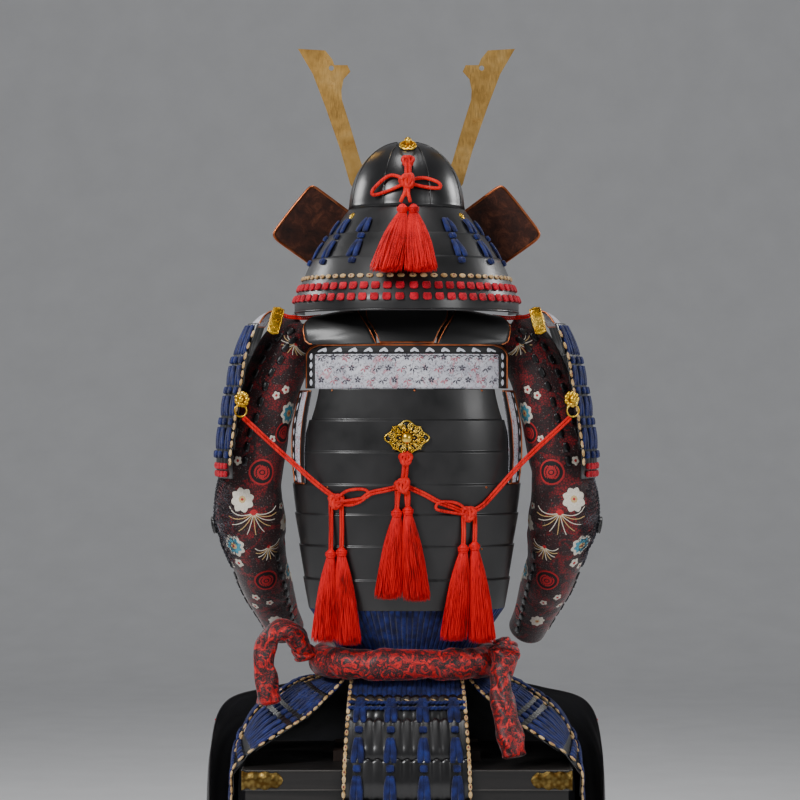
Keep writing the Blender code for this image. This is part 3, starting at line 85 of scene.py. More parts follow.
STRAP = (
    # y, height at the inner edge, x of the inner edge, x of the outer edge
    (-0.1375, 1.1990, 0.052, 0.168),
    (-0.130, 1.225, 0.064, 0.180),
    (-0.114, 1.250, 0.080, 0.184),
    (-0.088, 1.263, 0.086, 0.172),
    (-0.045, 1.267, 0.080, 0.156),
    (0.000, 1.267, 0.072, 0.148),
    (0.045, 1.260, 0.064, 0.142),
    (0.085, 1.235, 0.058, 0.132),
    (0.113, 1.192, 0.054, 0.120),
    (0.130, 1.150, 0.050, 0.112),
    (0.135, 1.1210, 0.050, 0.108),
)
STRAP_SLOPE, STRAP_EASE, STRAP_BOW, STRAP_WALL = 0.2, 3, 2.0, 0.004
NAPE = (
    # y at the middle, height, half width
    (-0.139, 1.1990, 0.046),
    (-0.131, 1.225, 0.058),
    (-0.118, 1.250, 0.072),
    (-0.108, 1.285, 0.070),
)
NAPE_BOW = 0.9

# Helmet
BOWL_HALF_WIDE, BOWL_HALF_DEEP, BOWL_Z, BOWL_TALL = 0.1035, 0.118, 1.4405, 0.121
BOWL_PLATES = 8
NECK_GUARD = (
    # top height, top half width, bottom height, bottom half width, open half angle at the front
    (1.4400, 0.1035, 1.3895, 0.138, 60),
    (1.3935, 0.1392, 1.3470, 0.168, 68),
    (1.3515, 0.1687, 1.2545, 0.201, 68),
)
NECK_GUARD_DEEPER = 0.015
HELMET_POWER = 2.1
BRIM_HALF_ANGLE, BRIM_OUT, BRIM_DROP, BRIM_DROOP, BRIM_INSET = 54, 0.045, 0.022, 0.010, 0.001
WING_TABLE = (
    # start x y z, bend x y z, end x y z, from the top edge down
    (-0.0925, 0.0650, 1.437, -0.104, 0.088, 1.442, -0.172, 0.068, 1.492),
    (-0.1050, 0.0730, 1.416, -0.124, 0.098, 1.405, -0.205, 0.066, 1.452),
    (-0.1190, 0.0830, 1.393, -0.156, 0.110, 1.335, -0.246, 0.062, 1.398),
)

# Sleeves: one row for each ring, from the shoulder down
SLEEVE = (
    # x, y, z, radius
    (-0.176, 0.000, 1.190, 0.040),
    (-0.210, 0.000, 1.165, 0.050),
    (-0.242, -0.002, 1.100, 0.053),
    (-0.264, -0.004, 1.020, 0.054),
    (-0.276, -0.002, 0.950, 0.056),
    (-0.283, 0.006, 0.885, 0.061),
    (-0.277, 0.030, 0.825, 0.058),
    (-0.266, 0.075, 0.768, 0.051),
    (-0.252, 0.125, 0.718, 0.044),
    (-0.238, 0.175, 0.674, 0.038),
    (-0.226, 0.212, 0.642, 0.035),
)
SLEEVE_FOLDS, SLEEVE_FOLD = 4, 0.0025

# Shoulder guards
GUARD = (
    # height, outermost x, half depth, how far the edges curve in
    (1.2320, -0.2820, 0.108, 0.022),
    (1.1800, -0.3065, 0.112, 0.028),
    (1.1350, -0.3170, 0.115, 0.031),
    (1.0900, -0.3260, 0.115, 0.032),
    (1.0450, -0.3330, 0.115, 0.033),
    (1.0000, -0.3390, 0.115, 0.033),
    (0.9600, -0.3390, 0.115, 0.033),
)
GUARD_EDGES = (0, 1, 2.2, 3.4, 4.7, 6)
GUARD_TOP = ((-0.2260, 1.2590), (-0.2460, 1.2595), (-0.2640, 1.2520), (-0.2810, 1.2360))
GUARD_TOP_HALF, GUARD_TOP_WIDER, GUARD_TOP_BOW = 0.085, 0.023, 0.020

# Waist
LACING_BAND = (
    # height, half width, half depth
    (0.7274, 0.1757, 0.1217),
    (0.6900, 0.1500, 0.1040),
    (0.6600, 0.1280, 0.0920),
    (0.6330, 0.1208, 0.0874),
    (0.6060, 0.1320, 0.0960),
)
SASH_Z, SASH_HALF_WIDE, SASH_HALF_DEEP, SASH_RADIUS = 0.633, 0.1500, 0.1165, 0.0275
SASH_END_LEFT = (
    # x, y, z, radius
    (-0.196, -0.056, 0.640, 0.014),
    (-0.204, -0.070, 0.668, 0.018),
    (-0.222, -0.080, 0.690, 0.019),
    (-0.244, -0.088, 0.690, 0.019),
    (-0.262, -0.092, 0.672, 0.019),
    (-0.268, -0.093, 0.636, 0.019),
    (-0.264, -0.093, 0.600, 0.020),
    (-0.260, -0.093, 0.562, 0.022),
)
SASH_END_RIGHT = (
    (0.166, -0.112, 0.672, 0.014),
    (0.170, -0.124, 0.660, 0.022),
    (0.171, -0.136, 0.640, 0.023),
    (0.166, -0.150, 0.614, 0.018),
    (0.166, -0.166, 0.585, 0.020),
    (0.172, -0.182, 0.545, 0.022),
    (0.181, -0.194, 0.505, 0.023),
    (0.186, -0.200, 0.478, 0.021),
)

# Skirt: near edge, middle and far edge for each row, from the waist down
SKIRT_BACK = (
    (-0.100, -0.0745, 0.6057, 0, -0.096, 0.6057, 0.100, -0.0745, 0.6057),
    (-0.104, -0.118, 0.576, 0, -0.130, 0.576, 0.104, -0.118, 0.576),
    (-0.107, -0.163, 0.537, 0, -0.170, 0.537, 0.107, -0.163, 0.537),
    (-0.110, -0.204, 0.492, 0, -0.208, 0.492, 0.110, -0.204, 0.492),
    (-0.112, -0.2195, 0.455, 0, -0.2225, 0.455, 0.112, -0.2195, 0.455),
    (-0.1135, -0.2225, 0.404, 0, -0.226, 0.404, 0.1135, -0.2225, 0.404),
    (-0.115, -0.2245, 0.333, 0, -0.228, 0.333, 0.115, -0.2245, 0.333),
    (-0.116, -0.2265, 0.262, 0, -0.230, 0.262, 0.116, -0.2265, 0.262),
)
SKIRT_BACK_SIDE = (
    (-0.104, -0.0710, 0.6057, -0.1240, -0.0464, 0.6057, -0.1319, -0.012, 0.6057),
    (-0.138, -0.106, 0.573, -0.163, -0.062, 0.583, -0.178, -0.010, 0.590),
    (-0.176, -0.136, 0.540, -0.205, -0.078, 0.555, -0.225, -0.008, 0.566),
    (-0.228, -0.158, 0.509, -0.252, -0.085, 0.522, -0.270, -0.006, 0.528),
    (-0.295, -0.168, 0.462, -0.299, -0.088, 0.468, -0.301, -0.005, 0.472),
    (-0.301, -0.172, 0.410, -0.305, -0.090, 0.412, -0.307, -0.005, 0.414),
    (-0.303, -0.175, 0.350, -0.308, -0.090, 0.350, -0.310, -0.005, 0.350),
    (-0.305, -0.178, 0.290, -0.310, -0.091, 0.290, -0.312, -0.005, 0.290),
)
SKIRT_SIDE = (
    (-0.1320, 0.004, 0.6057, -0.128, 0.036, 0.6057, -0.112, 0.064, 0.6057),
    (-0.180, 0.006, 0.594, -0.174, 0.046, 0.594, -0.152, 0.082, 0.593),
    (-0.228, 0.008, 0.570, -0.222, 0.054, 0.573, -0.200, 0.098, 0.574),
    (-0.272, 0.009, 0.532, -0.270, 0.060, 0.538, -0.250, 0.110, 0.541),
    (-0.302, 0.010, 0.476, -0.304, 0.063, 0.482, -0.290, 0.116, 0.489),
    (-0.309, 0.010, 0.415, -0.314, 0.064, 0.420, -0.306, 0.118, 0.426),
    (-0.312, 0.010, 0.352, -0.318, 0.065, 0.356, -0.312, 0.119, 0.361),
    (-0.314, 0.010, 0.290, -0.321, 0.065, 0.292, -0.315, 0.120, 0.296),
)
SKIRT_FRONT = (
    (-0.003, 0.096, 0.6057, -0.055, 0.0925, 0.6057, -0.100, 0.0745, 0.6057),
    (-0.004, 0.135, 0.597, -0.068, 0.132, 0.597, -0.128, 0.108, 0.597),
    (-0.005, 0.180, 0.580, -0.080, 0.176, 0.582, -0.155, 0.142, 0.585),
    (-0.006, 0.222, 0.548, -0.088, 0.220, 0.552, -0.172, 0.178, 0.562),
    (-0.007, 0.252, 0.495, -0.093, 0.252, 0.500, -0.182, 0.215, 0.523),
    (-0.008, 0.263, 0.430, -0.096, 0.268, 0.435, -0.188, 0.250, 0.464),
    (-0.009, 0.268, 0.365, -0.098, 0.276, 0.368, -0.190, 0.268, 0.396),
    (-0.010, 0.272, 0.300, -0.099, 0.281, 0.302, -0.191, 0.276, 0.330),
)
SKIRT_EDGES = (0, 1, 2, 3.5, 5, 6, 7)
THIGH_GUARD = (
    (-0.006, 0.088, 0.597, -0.055, 0.084, 0.597, -0.097, 0.066, 0.597),
    (-0.007, 0.135, 0.580, -0.100, 0.125, 0.574, -0.165, 0.122, 0.580),
    (-0.008, 0.180, 0.553, -0.155, 0.170, 0.544, -0.250, 0.140, 0.563),
    (-0.009, 0.215, 0.512, -0.210, 0.208, 0.505, -0.335, 0.143, 0.535),
    (-0.010, 0.235, 0.445, -0.285, 0.240, 0.445, -0.362, 0.148, 0.450),
    (-0.011, 0.241, 0.300, -0.306, 0.245, 0.300, -0.366, 0.152, 0.300),
    (-0.012, 0.244, 0.120, -0.310, 0.250, 0.120, -0.368, 0.156, 0.120),
)
THIGH_WAVES, THIGH_WAVE = 4, 0.003

# Cords on the back: x, height; each lies on what is under it
CORD_RADIUS = 0.0045
CORD_LEFT = (
    (-0.2880, 1.068), (-0.2570, 1.039), (-0.2240, 1.009), (-0.1900, 0.979), (-0.1580, 0.951),
    (-0.1295, 0.930), (-0.1080, 0.917), (-0.0850, 0.921), (-0.0650, 0.935), (-0.0400, 0.941),
    (-0.0130, 0.947),
)
CORD_RIGHT = (
    (0.2880, 1.068), (0.2570, 1.039), (0.2240, 1.009), (0.1900, 0.975), (0.1560, 0.937),
    (0.1310, 0.912), (0.1040, 0.903), (0.0780, 0.912), (0.0540, 0.921), (0.0300, 0.934),
    (0.0010, 0.947),
)
TASSELS = (
    # name, x of the head, lean x, lean y, top height, head height, bottom height, half width below
    ("tassel_left_a", -0.1335, -0.0115, 0, 0.9254, 0.832, 0.680, 0.0215),
    ("tassel_left_b", -0.1145, 0.0125, 0, 0.9138, 0.836, 0.676, 0.0210),
    ("tassel_centre_a", -0.0175, -0.0145, 0, 0.9404, 0.905, 0.757, 0.0230),
    ("tassel_centre_b", 0.0020, 0.0150, 0, 0.9404, 0.909, 0.754, 0.0230),
    ("tassel_right_a", 0.0990, -0.0160, 0, 0.8989, 0.842, 0.684, 0.0230),
    ("tassel_right_b", 0.1190, 0.0130, 0, 0.9017, 0.846, 0.680, 0.0230),
    ("crown_tassel_left", -0.0078, -0.0267, -0.066, 1.455, 1.437, 1.3230, 0.0275),
    ("crown_tassel_right", 0.0118, 0.0122, -0.066, 1.455, 1.437, 1.3230, 0.0275),
)
STRANDS, STRAND_STEPS, STRAND_RADIUS = 350, 7, 0.00085
# Cord down the back of the bowl: x, height; then the two loops of its bow, out and down from the knot
CROWN_CORD = (
    (0.002, 1.526), (0.002, 1.512), (0.002, 1.498), (0.001, 1.484), (0.000, 1.470), (-0.001, 1.456),
)
CROWN_BOWS = (
    ((-0.030, 0.010), (-0.058, -0.012), (-0.060, -0.024), (-0.036, -0.018)),
    ((0.028, 0.006), (0.054, -0.002), (0.056, -0.012), (0.028, -0.010)),
)
# Mail on the elbow: ring spacing, its share of the arm and where it starts, half width, ring and wire radius
MAIL_PITCH, MAIL_SHARE, MAIL_TOP, MAIL_HALF = 0.0058, 0.27, 0.42, 0.062
MAIL_RING, MAIL_WIRE = 0.0034, 0.00065
PLATE_PITCH = 0.021
PLATE_STRIPS = (
    # degrees round the arm, start and end as shares of its length
    (8, 0.06, 0.40), (40, 0.05, 0.40), (-35, 0.62, 0.96), (70, 0.68, 0.96), (170, 0.06, 0.44),
    (140, 0.64, 0.96), (200, 0.64, 0.96),
)
SKY_COLOUR, SKY_STRENGTH = (0.8, 0.82, 0.85, 1), 0.23
WING_CELLS = 33
SLEEVE_ROWS, SLEEVE_SIDES = 110, 68
SLEEVE_CREASES = (
    # place down the sleeve, angle round it, depth, half length round, half width along, slant
    (0.30, 0.4, 0.0022, 1.1, 0.018, 0.020),
    (0.40, 3.4, 0.0026, 0.9, 0.020, -0.015),
    (0.47, 1.5, 0.0034, 1.3, 0.018, 0.018),
    (0.53, 4.6, 0.0036, 1.2, 0.016, -0.022),
    (0.57, 2.4, 0.0030, 0.9, 0.014, 0.024),
    (0.62, 0.2, 0.0028, 1.0, 0.016, -0.016),
    (0.70, 3.9, 0.0024, 1.1, 0.018, 0.020),
    (0.80, 1.2, 0.0020, 1.0, 0.016, -0.018),
    (0.90, 5.2, 0.0016, 1.2, 0.014, 0.012),
    (0.15, 2.0, 0.0018, 1.0, 0.016, 0.016),
)
FLOWERS = (
    # kind, place down the sleeve, degrees round from the back towards the outside, radius
    ("spray", 0.100, -10, 0.026), ("blossom", 0.205, -36, 0.0075), ("blossom", 0.225, -18, 0.0065),
    ("disc", 0.405, -24, 0.022), ("blossom", 0.385, 28, 0.008), ("flower", 0.475, 10, 0.018),
    ("spray", 0.530, -8, 0.036), ("turquoise", 0.585, 34, 0.019), ("blossom", 0.632, 30, 0.0085),
    ("blossom", 0.650, 48, 0.007), ("spray", 0.615, -26, 0.022), ("disc", 0.690, -6, 0.021),
    ("blossom", 0.745, 22, 0.008), ("blossom", 0.772, 4, 0.0075), ("blossom", 0.790, 30, 0.008),
    ("flower", 0.860, 6, 0.017), ("disc", 0.300, -58, 0.018), ("blossom", 0.320, -30, 0.007),
    ("turquoise", 0.255, -62, 0.018), ("flower", 0.345, 150, 0.018), ("disc", 0.220, 170, 0.022),
    ("turquoise", 0.480, 190, 0.020), ("blossom", 0.420, 170, 0.008), ("disc", 0.560, 140, 0.022),
    ("blossom", 0.600, 165, 0.008), ("flower", 0.660, 185, 0.018), ("disc", 0.750, 150, 0.020),
    ("spray", 0.400, 215, 0.030), ("turquoise", 0.820, 175, 0.017), ("blossom", 0.880, 200, 0.008),
    ("disc", 0.880, -60, 0.018), ("flower", 0.560, -80, 0.018), ("blossom", 0.500, -70, 0.008),
    ("disc", 0.620, -100, 0.020), ("turquoise", 0.720, -80, 0.018), ("blossom", 0.940, 60, 0.007),
    ("disc", 0.500, 240, 0.020), ("flower", 0.760, 250, 0.017), ("blossom", 0.690, 230, 0.008),
)
SASH_CREASES = (
    # place round the sash, depth, half width, slant
    (0.04, 0.0030, 0.010, 0.8), (0.11, 0.0022, 0.008, -0.6), (0.19, 0.0034, 0.011, 0.9),
    (0.27, 0.0020, 0.009, 0.5), (0.36, 0.0030, 0.010, -0.9), (0.45, 0.0016, 0.008, 0.7),
    (0.52, 0.0022, 0.012, -0.7), (0.60, 0.0026, 0.009, 0.8), (0.69, 0.0020, 0.010, -0.5),
    (0.77, 0.0032, 0.011, 0.9), (0.86, 0.0024, 0.009, -0.8), (0.94, 0.0028, 0.010, 0.6),
)
THIGH_CREASES = (
    # place across the cloth, depth, half width, slant
    (0.13, 0.0022, 0.022, 0.05), (0.31, 0.0016, 0.018, -0.04), (0.44, 0.0026, 0.024, 0.06),
    (0.58, 0.0014, 0.016, 0.03), (0.70, 0.0024, 0.022, -0.05), (0.82, 0.0018, 0.018, 0.04),
    (0.93, 0.0026, 0.020, -0.03),
)
SHOULDER_FITTING = (0.2305, -0.1125, 1.2385)
SHOULDER_FITTING_HALF, SHOULDER_FITTING_LEAN = (0.0115, 0.0260, 0.0016), 14
LIGHTS = (
    # name, place, aimed at, size, power
    ("key", (-1.9, -2.6, 2.9), (0, 0, 1.05), 0.9, 98),
    ("fill", (2.3, -2.4, 1.7), (0, 0, 1.0), 1.2, 30),
    ("rim_left", (-2.3, 1.2, 2.2), (0, 0, 1.1), 0.8, 26),
    ("rim_right", (2.3, 1.2, 2.2), (0, 0, 1.1), 0.8, 26),
    ("top", (0, -0.3, 3.6), (0, 0, 1.0), 1.0, 26),
)


def linear(red, green, blue):
    """A colour seen as 0 to 255 values, as the linear values that a shader takes."""
    def one(value):
        value = value / 255
        return value / 12.92 if value <= 0.04045 else ((value + 0.055) / 1.055) ** 2.4
    return (one(red), one(green), one(blue), 1)


def build_camera():
    data = bpy.data.cameras.new("camera")
    data.lens = CAMERA_LENS
    data.sensor_width = CAMERA_SENSOR
    data.clip_end = 60
    camera = bpy.data.objects.new("camera", data)
    camera.location = CAMERA_PLACE
    camera.rotation_euler = (math.pi / 2, 0, 0)
    bpy.context.scene.collection.objects.link(camera)
    bpy.context.scene.camera = camera


# Shader helpers

def node(tree, kind, inputs=None, **settings):
    made = tree.nodes.new(kind)
    for key, value in settings.items():
        setattr(made, key, value)
    for key, value in (inputs or {}).items():
        if isinstance(value, bpy.types.NodeSocket):
            tree.links.new(value, made.inputs[key])
        else:
            made.inputs[key].default_value = value
    return made


def ramp(tree, value, stops, constant=False):
    made = node(tree, "ShaderNodeValToRGB", {"Fac": value})
    made.color_ramp.interpolation = "CONSTANT" if constant else "LINEAR"
    for number, (place, colour) in enumerate(stops):
        if number < 2:
            stop = made.color_ramp.elements[number]
            stop.position = place
        else:
            stop = made.color_ramp.elements.new(place)
        stop.color = colour
    return made.outputs["Color"]


def grey(value):
    return (value, value, value, 1)


def coordinates(tree, scale, kind="Object"):
    place = node(tree, "ShaderNodeTexCoord").outputs[kind]
    return node(tree, "ShaderNodeMapping", {"Vector": place, "Scale": scale}).outputs["Vector"]


def noise(tree, scale, detail=4.0, rough=0.55, kind="Object", distortion=0.0, size=1.0):
    vector = coordinates(tree, scale, kind)
    return node(tree, "ShaderNodeTexNoise", {"Vector": vector, "Scale": size, "Detail": detail,
                                             "Roughness": rough, "Distortion": distortion}).outputs["Fac"]


def mix(tree, share, first, second, kind="MIX"):
    made = node(tree, "ShaderNodeMix", data_type="RGBA", blend_type=kind)
    for socket, value in ((0, share), (6, first), (7, second)):
        if isinstance(value, bpy.types.NodeSocket):
            tree.links.new(value, made.inputs[socket])
        else:
            made.inputs[socket].default_value = value
    return made.outputs[2]


def maths(tree, operation, first, second=0.0, third=0.0):
    made = node(tree, "ShaderNodeMath", operation=operation)
    for socket, value in enumerate((first, second, third)):
        if isinstance(value, bpy.types.NodeSocket):
            tree.links.new(value, made.inputs[socket])
        else:
            made.inputs[socket].default_value = value
    return made.outputs[0]


def new_look(name, roughness=0.5, metallic=0.0, **sockets):
    made = bpy.data.materials.new(name)
    made.use_nodes = True
    shader = made.node_tree.nodes["Principled BSDF"]
    shader.inputs["Roughness"].default_value = roughness
    shader.inputs["Metallic"].default_value = metallic
    for key, value in sockets.items():
        shader.inputs[key.replace("_", " ")].default_value = value
    return made, made.node_tree, shader


def join(tree, shader, colour=None, roughness=None, height=None, strength=0.3, distance=0.0005):
    if colour is not None:
        tree.links.new(colour, shader.inputs["Base Color"])
    if roughness is not None:
        tree.links.new(roughness, shader.inputs["Roughness"])
    if height is not None:
        bump = node(tree, "ShaderNodeBump", {"Height": height, "Strength": strength, "Distance": distance})
        tree.links.new(bump.outputs["Normal"], shader.inputs["Normal"])


def lacquer_look(name="lacquer", dark=(8, 8, 9), light=(24, 23, 25), low=0.26, high=0.42):
    made, tree, shader = new_look(name, Coat_Weight=0.35, Coat_Roughness=0.22)
    cloud = noise(tree, (14, 14, 14), 5)
    fine = noise(tree, (420, 420, 420), 2)
    join(tree, shader, ramp(tree, cloud, ((0.3, linear(*dark)), (0.75, linear(*light)))),
         ramp(tree, cloud, ((0.3, grey(low)), (0.7, grey(high)))), fine, 0.10, 0.0002)
    return made


def braid_look(name, dark, middle, light):
    """Flat braided silk: chevrons across the braid, with thread-to-thread variation, and painted shade in
    the chevron grooves.
    """
    made, tree, shader = new_look(name, 0.72, Sheen_Weight=0.12, Sheen_Roughness=0.4,
                                  Specular_IOR_Level=0.3)
    place = node(tree, "ShaderNodeTexCoord").outputs["UV"]
    parts = node(tree, "ShaderNodeSeparateXYZ", {"Vector": place})
    across = maths(tree, "ABSOLUTE", parts.outputs["X"])
    slant = maths(tree, "ADD", maths(tree, "MULTIPLY", across, 1.0), parts.outputs["Y"])
    wave = maths(tree, "SINE", maths(tree, "MULTIPLY", slant, 2 * math.pi / 0.0024))
    threads = noise(tree, (260, 260, 260), 3)
    cloud = noise(tree, (70, 70, 70), 4)
    # The tone mixes real thread-to-thread variation (cloud) with the chevron wave, which darkens the grooves
    # between strands: painted shade.
    tone = maths(tree, "ADD", maths(tree, "MULTIPLY", wave, 0.16), cloud)
    colour = ramp(tree, tone, ((0.28, linear(*dark)), (0.52, linear(*middle)), (0.78, linear(*light))))
    height = maths(tree, "ADD", wave, maths(tree, "MULTIPLY", threads, 1.2))
    join(tree, shader, colour, None, height, 0.55, 0.0005)
    return made


def strand_look(name, dark, middle, light):
    """Loose silk: long fine strands with varied tone."""
    made, tree, shader = new_look(name, 0.5, Sheen_Weight=0.05, Sheen_Roughness=0.35,
                                  Specular_IOR_Level=0.25)
    fibre = noise(tree, (520, 520, 26), 3)
    cloud = noise(tree, (40, 40, 12), 3)
    tone = maths(tree, "ADD", maths(tree, "MULTIPLY", fibre, 0.6), maths(tree, "MULTIPLY", cloud, 0.4))
    colour = ramp(tree, tone, ((0.34, linear(*dark)), (0.5, linear(*middle)), (0.68, linear(*light))))
    join(tree, shader, colour, None, fibre, 0.3, 0.0003)
    return made


def metal_look(name, dark, middle, light, low, high, stains=False, relief=0.0):
    made, tree, shader = new_look(name, 0.35, 1.0)
    cloud = noise(tree, (30, 30, 30), 5)
    colour = ramp(tree, cloud, ((0.30, linear(*dark)), (0.52, linear(*middle)), (0.75, linear(*light))))
    brushed = noise(tree, (700, 700, 60), 3)
    rough = ramp(tree, brushed, ((0.3, grey(low)), (0.7, grey(high))))
    height, distance = brushed, 0.0001
    if stains:
        spots = noise(tree, (46, 46, 46), 6, 0.7)
        mask = ramp(tree, spots, ((0.60, grey(0)), (0.70, grey(0.7))))
        colour = mix(tree, mask, colour, linear(120, 84, 40))
        rough = mix(tree, mask, rough, grey(0.6))
    if relief:
        vector = coordinates(tree, (1, 1, 1))
        cells = node(tree, "ShaderNodeTexVoronoi", {"Vector": vector, "Scale": relief}, feature="SMOOTH_F1")
        height, distance = cells.outputs["Distance"], 0.0012
        colour = mix(tree, ramp(tree, height, ((0.25, grey(0)), (0.6, grey(0.75)))), colour,
                     linear(70, 42, 10))
    join(tree, shader, colour, rough, height, 0.6, distance)
    return made


def suede_look():
    made, tree, shader = new_look("suede", 0.95, Sheen_Weight=0.5, Sheen_Roughness=0.5,
                                  Sheen_Tint=linear(150, 90, 60))
    cloud = noise(tree, (38, 38, 38), 8, 0.7, distortion=0.6)
    fibre = noise(tree, (300, 300, 300), 4)
    colour = ramp(tree, cloud, ((0.34, linear(22, 10, 8)), (0.52, linear(58, 28, 18)),
                                (0.70, linear(104, 58, 38))))
    height = maths(tree, "ADD", cloud, maths(tree, "MULTIPLY", fibre, 0.5))
    join(tree, shader, colour, None, height, 0.9, 0.0015)
    return made


def leather_look():
    """Pale leather with a fine scattered print of sprigs, dots and small flowers."""
    made, tree, shader = new_look("printed_leather", 0.62)
    vector = coordinates(tree, (1, 1, 1))
    cloud = noise(tree, (22, 22, 22), 5)
    base = ramp(tree, cloud, ((0.3, linear(178, 178, 190)), (0.7, linear(222, 222, 230))))
    warped = noise(tree, (55, 55, 55), 3, distortion=2.2)
    lines = maths(tree, "ABSOLUTE", maths(tree, "SUBTRACT", warped, 0.5))
    sprig = ramp(tree, lines, ((0.006, grey(1)), (0.018, grey(0))))
    cells = node(tree, "ShaderNodeTexVoronoi", {"Vector": vector, "Scale": 150.0})
    dots = ramp(tree, cells.outputs["Distance"], ((0.20, grey(1)), (0.30, grey(0))))
    pink = noise(tree, (60, 60, 60), 4, distortion=1.5)
    pink_mask = ramp(tree, pink, ((0.58, grey(0)), (0.61, grey(0.7))))
    colour = mix(tree, pink_mask, base, linear(196, 128, 140))
    colour = mix(tree, maths(tree, "MULTIPLY", sprig, 0.85), colour, linear(44, 40, 50))
    colour = mix(tree, maths(tree, "MULTIPLY", dots, 0.55), colour, linear(70, 64, 78))
    join(tree, shader, colour, None, noise(tree, (500, 500, 500), 3), 0.25, 0.0003)
    return made


def brocade_look():
    """Crimson silk with a black woven ground figure and floating threads, and painted glints as pale specks
    on the black.
    """
    made, tree, shader = new_look("brocade", 0.66, Sheen_Weight=0.3, Sheen_Roughness=0.4)
    vector = coordinates(tree, (1, 1, 1))
    cells = node(tree, "ShaderNodeTexVoronoi", {"Vector": vector, "Scale": 210.0},
                 feature="DISTANCE_TO_EDGE")
    ground = ramp(tree, cells.outputs["Distance"], ((0.05, grey(1)), (0.16, grey(0))))
    cloud = noise(tree, (24, 24, 24), 3, distortion=1.6)
    dark = ramp(tree, cloud, ((0.46, grey(0)), (0.50, grey(1))))
    red = ramp(tree, noise(tree, (90, 90, 90), 3), ((0.3, linear(84, 4, 12)), (0.7, linear(150, 10, 26))))
    colour = mix(tree, maths(tree, "MULTIPLY", ground, 0.9), red, linear(16, 8, 12))
    colour = mix(tree, maths(tree, "MULTIPLY", dark, 0.84), colour, linear(14, 8, 12))
    # Pale specks on the black figure are painted glints: a painted highlight, not a thread colour.
    speck = noise(tree, (420, 420, 420), 2)
    painted_glint = ramp(tree, speck, ((0.64, grey(0)), (0.70, grey(0.55))))
    colour = mix(tree, maths(tree, "MULTIPLY", painted_glint, dark), colour, linear(170, 160, 156))
    thread = noise(tree, (900, 900, 900), 2)
    join(tree, shader, colour, None, maths(tree, "ADD", ground, thread), 0.5, 0.0005)
    return made


def damask_look():
    """Black ground with bright red clouds and fine red scrolls."""
    made, tree, shader = new_look("sash_damask", 0.5, Sheen_Weight=0.25, Sheen_Roughness=0.35)
    clouds = noise(tree, (48, 48, 48), 2, 0.5, distortion=2.2)
    body = ramp(tree, clouds, ((0.535, grey(0)), (0.548, grey(1))))
    scroll = noise(tree, (88, 88, 88), 1, 0.5, distortion=3.0)
    lines = maths(tree, "ABSOLUTE", maths(tree, "SUBTRACT", scroll, 0.47))
    thin = ramp(tree, lines, ((0.022, grey(1)), (0.034, grey(0))))
    shade = noise(tree, (130, 130, 130), 2, distortion=1.2)
    red = ramp(tree, shade, ((0.35, linear(150, 4, 8)), (0.65, linear(222, 22, 22))))
    vein = ramp(tree, maths(tree, "ABSOLUTE", maths(tree, "SUBTRACT", shade, 0.5)),
                ((0.010, grey(1)), (0.022, grey(0))))
    inside = mix(tree, maths(tree, "MULTIPLY", vein, 0.8), red, linear(40, 8, 10))
    ground = ramp(tree, noise(tree, (300, 300, 300), 2),
                  ((0.3, linear(14, 12, 14)), (0.7, linear(34, 26, 28))))
    colour = mix(tree, thin, ground, linear(164, 14, 20))
    colour = mix(tree, body, colour, inside)
    height = maths(tree, "ADD", maths(tree, "MULTIPLY", body, 1.0), maths(tree, "MULTIPLY", thin, 0.6))
    join(tree, shader, colour, None, height, 0.4, 0.0004)
    return made


def cloth_look(name, dark, light, scale=900):
    made, tree, shader = new_look(name, 0.9, Sheen_Weight=0.2, Sheen_Roughness=0.5)
    place = node(tree, "ShaderNodeTexCoord").outputs["Object"]
    parts = node(tree, "ShaderNodeSeparateXYZ", {"Vector": place})
    first = maths(tree, "SINE", maths(tree, "MULTIPLY", parts.outputs["X"], scale * 5))
    second = maths(tree, "SINE", maths(tree, "MULTIPLY", parts.outputs["Z"], scale * 5))
    weave = maths(tree, "MULTIPLY", first, second)
    cloud = noise(tree, (20, 20, 20), 5)
    colour = ramp(tree, cloud, ((0.3, linear(*dark)), (0.7, linear(*light))))
    join(tree, shader, colour, None, weave, 0.3, 0.0003)
    return made


def wood_look(name, dark, light, low, high, along_axis=0, coat=0.2):
    made, tree, shader = new_look(name, Coat_Weight=coat, Coat_Roughness=0.25)
    scale = [90.0, 90.0, 90.0]
    scale[along_axis] = 3.5
    grain = noise(tree, tuple(scale), 6, 0.65, distortion=0.8)
    wide = noise(tree, tuple(value / 6 for value in scale), 3)
    tone = maths(tree, "ADD", maths(tree, "MULTIPLY", grain, 0.7), maths(tree, "MULTIPLY", wide, 0.3))
    colour = ramp(tree, tone, ((0.35, linear(*dark)), (0.65, linear(*light))))
    rough = ramp(tree, grain, ((0.3, grey(low)), (0.7, grey(high))))
    join(tree, shader, colour, rough, grain, 0.35, 0.0004)
    return made


def plain_look(name, dark, light, roughness=0.6, metallic=0.0, scale=180, bump=0.4, sheen=0.0):
    made, tree, shader = new_look(name, roughness, metallic, Sheen_Weight=sheen)
    cloud = noise(tree, (scale, scale, scale), 4)
    colour = ramp(tree, cloud, ((0.3, linear(*dark)), (0.7, linear(*light))))
    join(tree, shader, colour, None, noise(tree, (scale * 4, scale * 4, scale * 4), 3), bump, 0.0003)
    return made


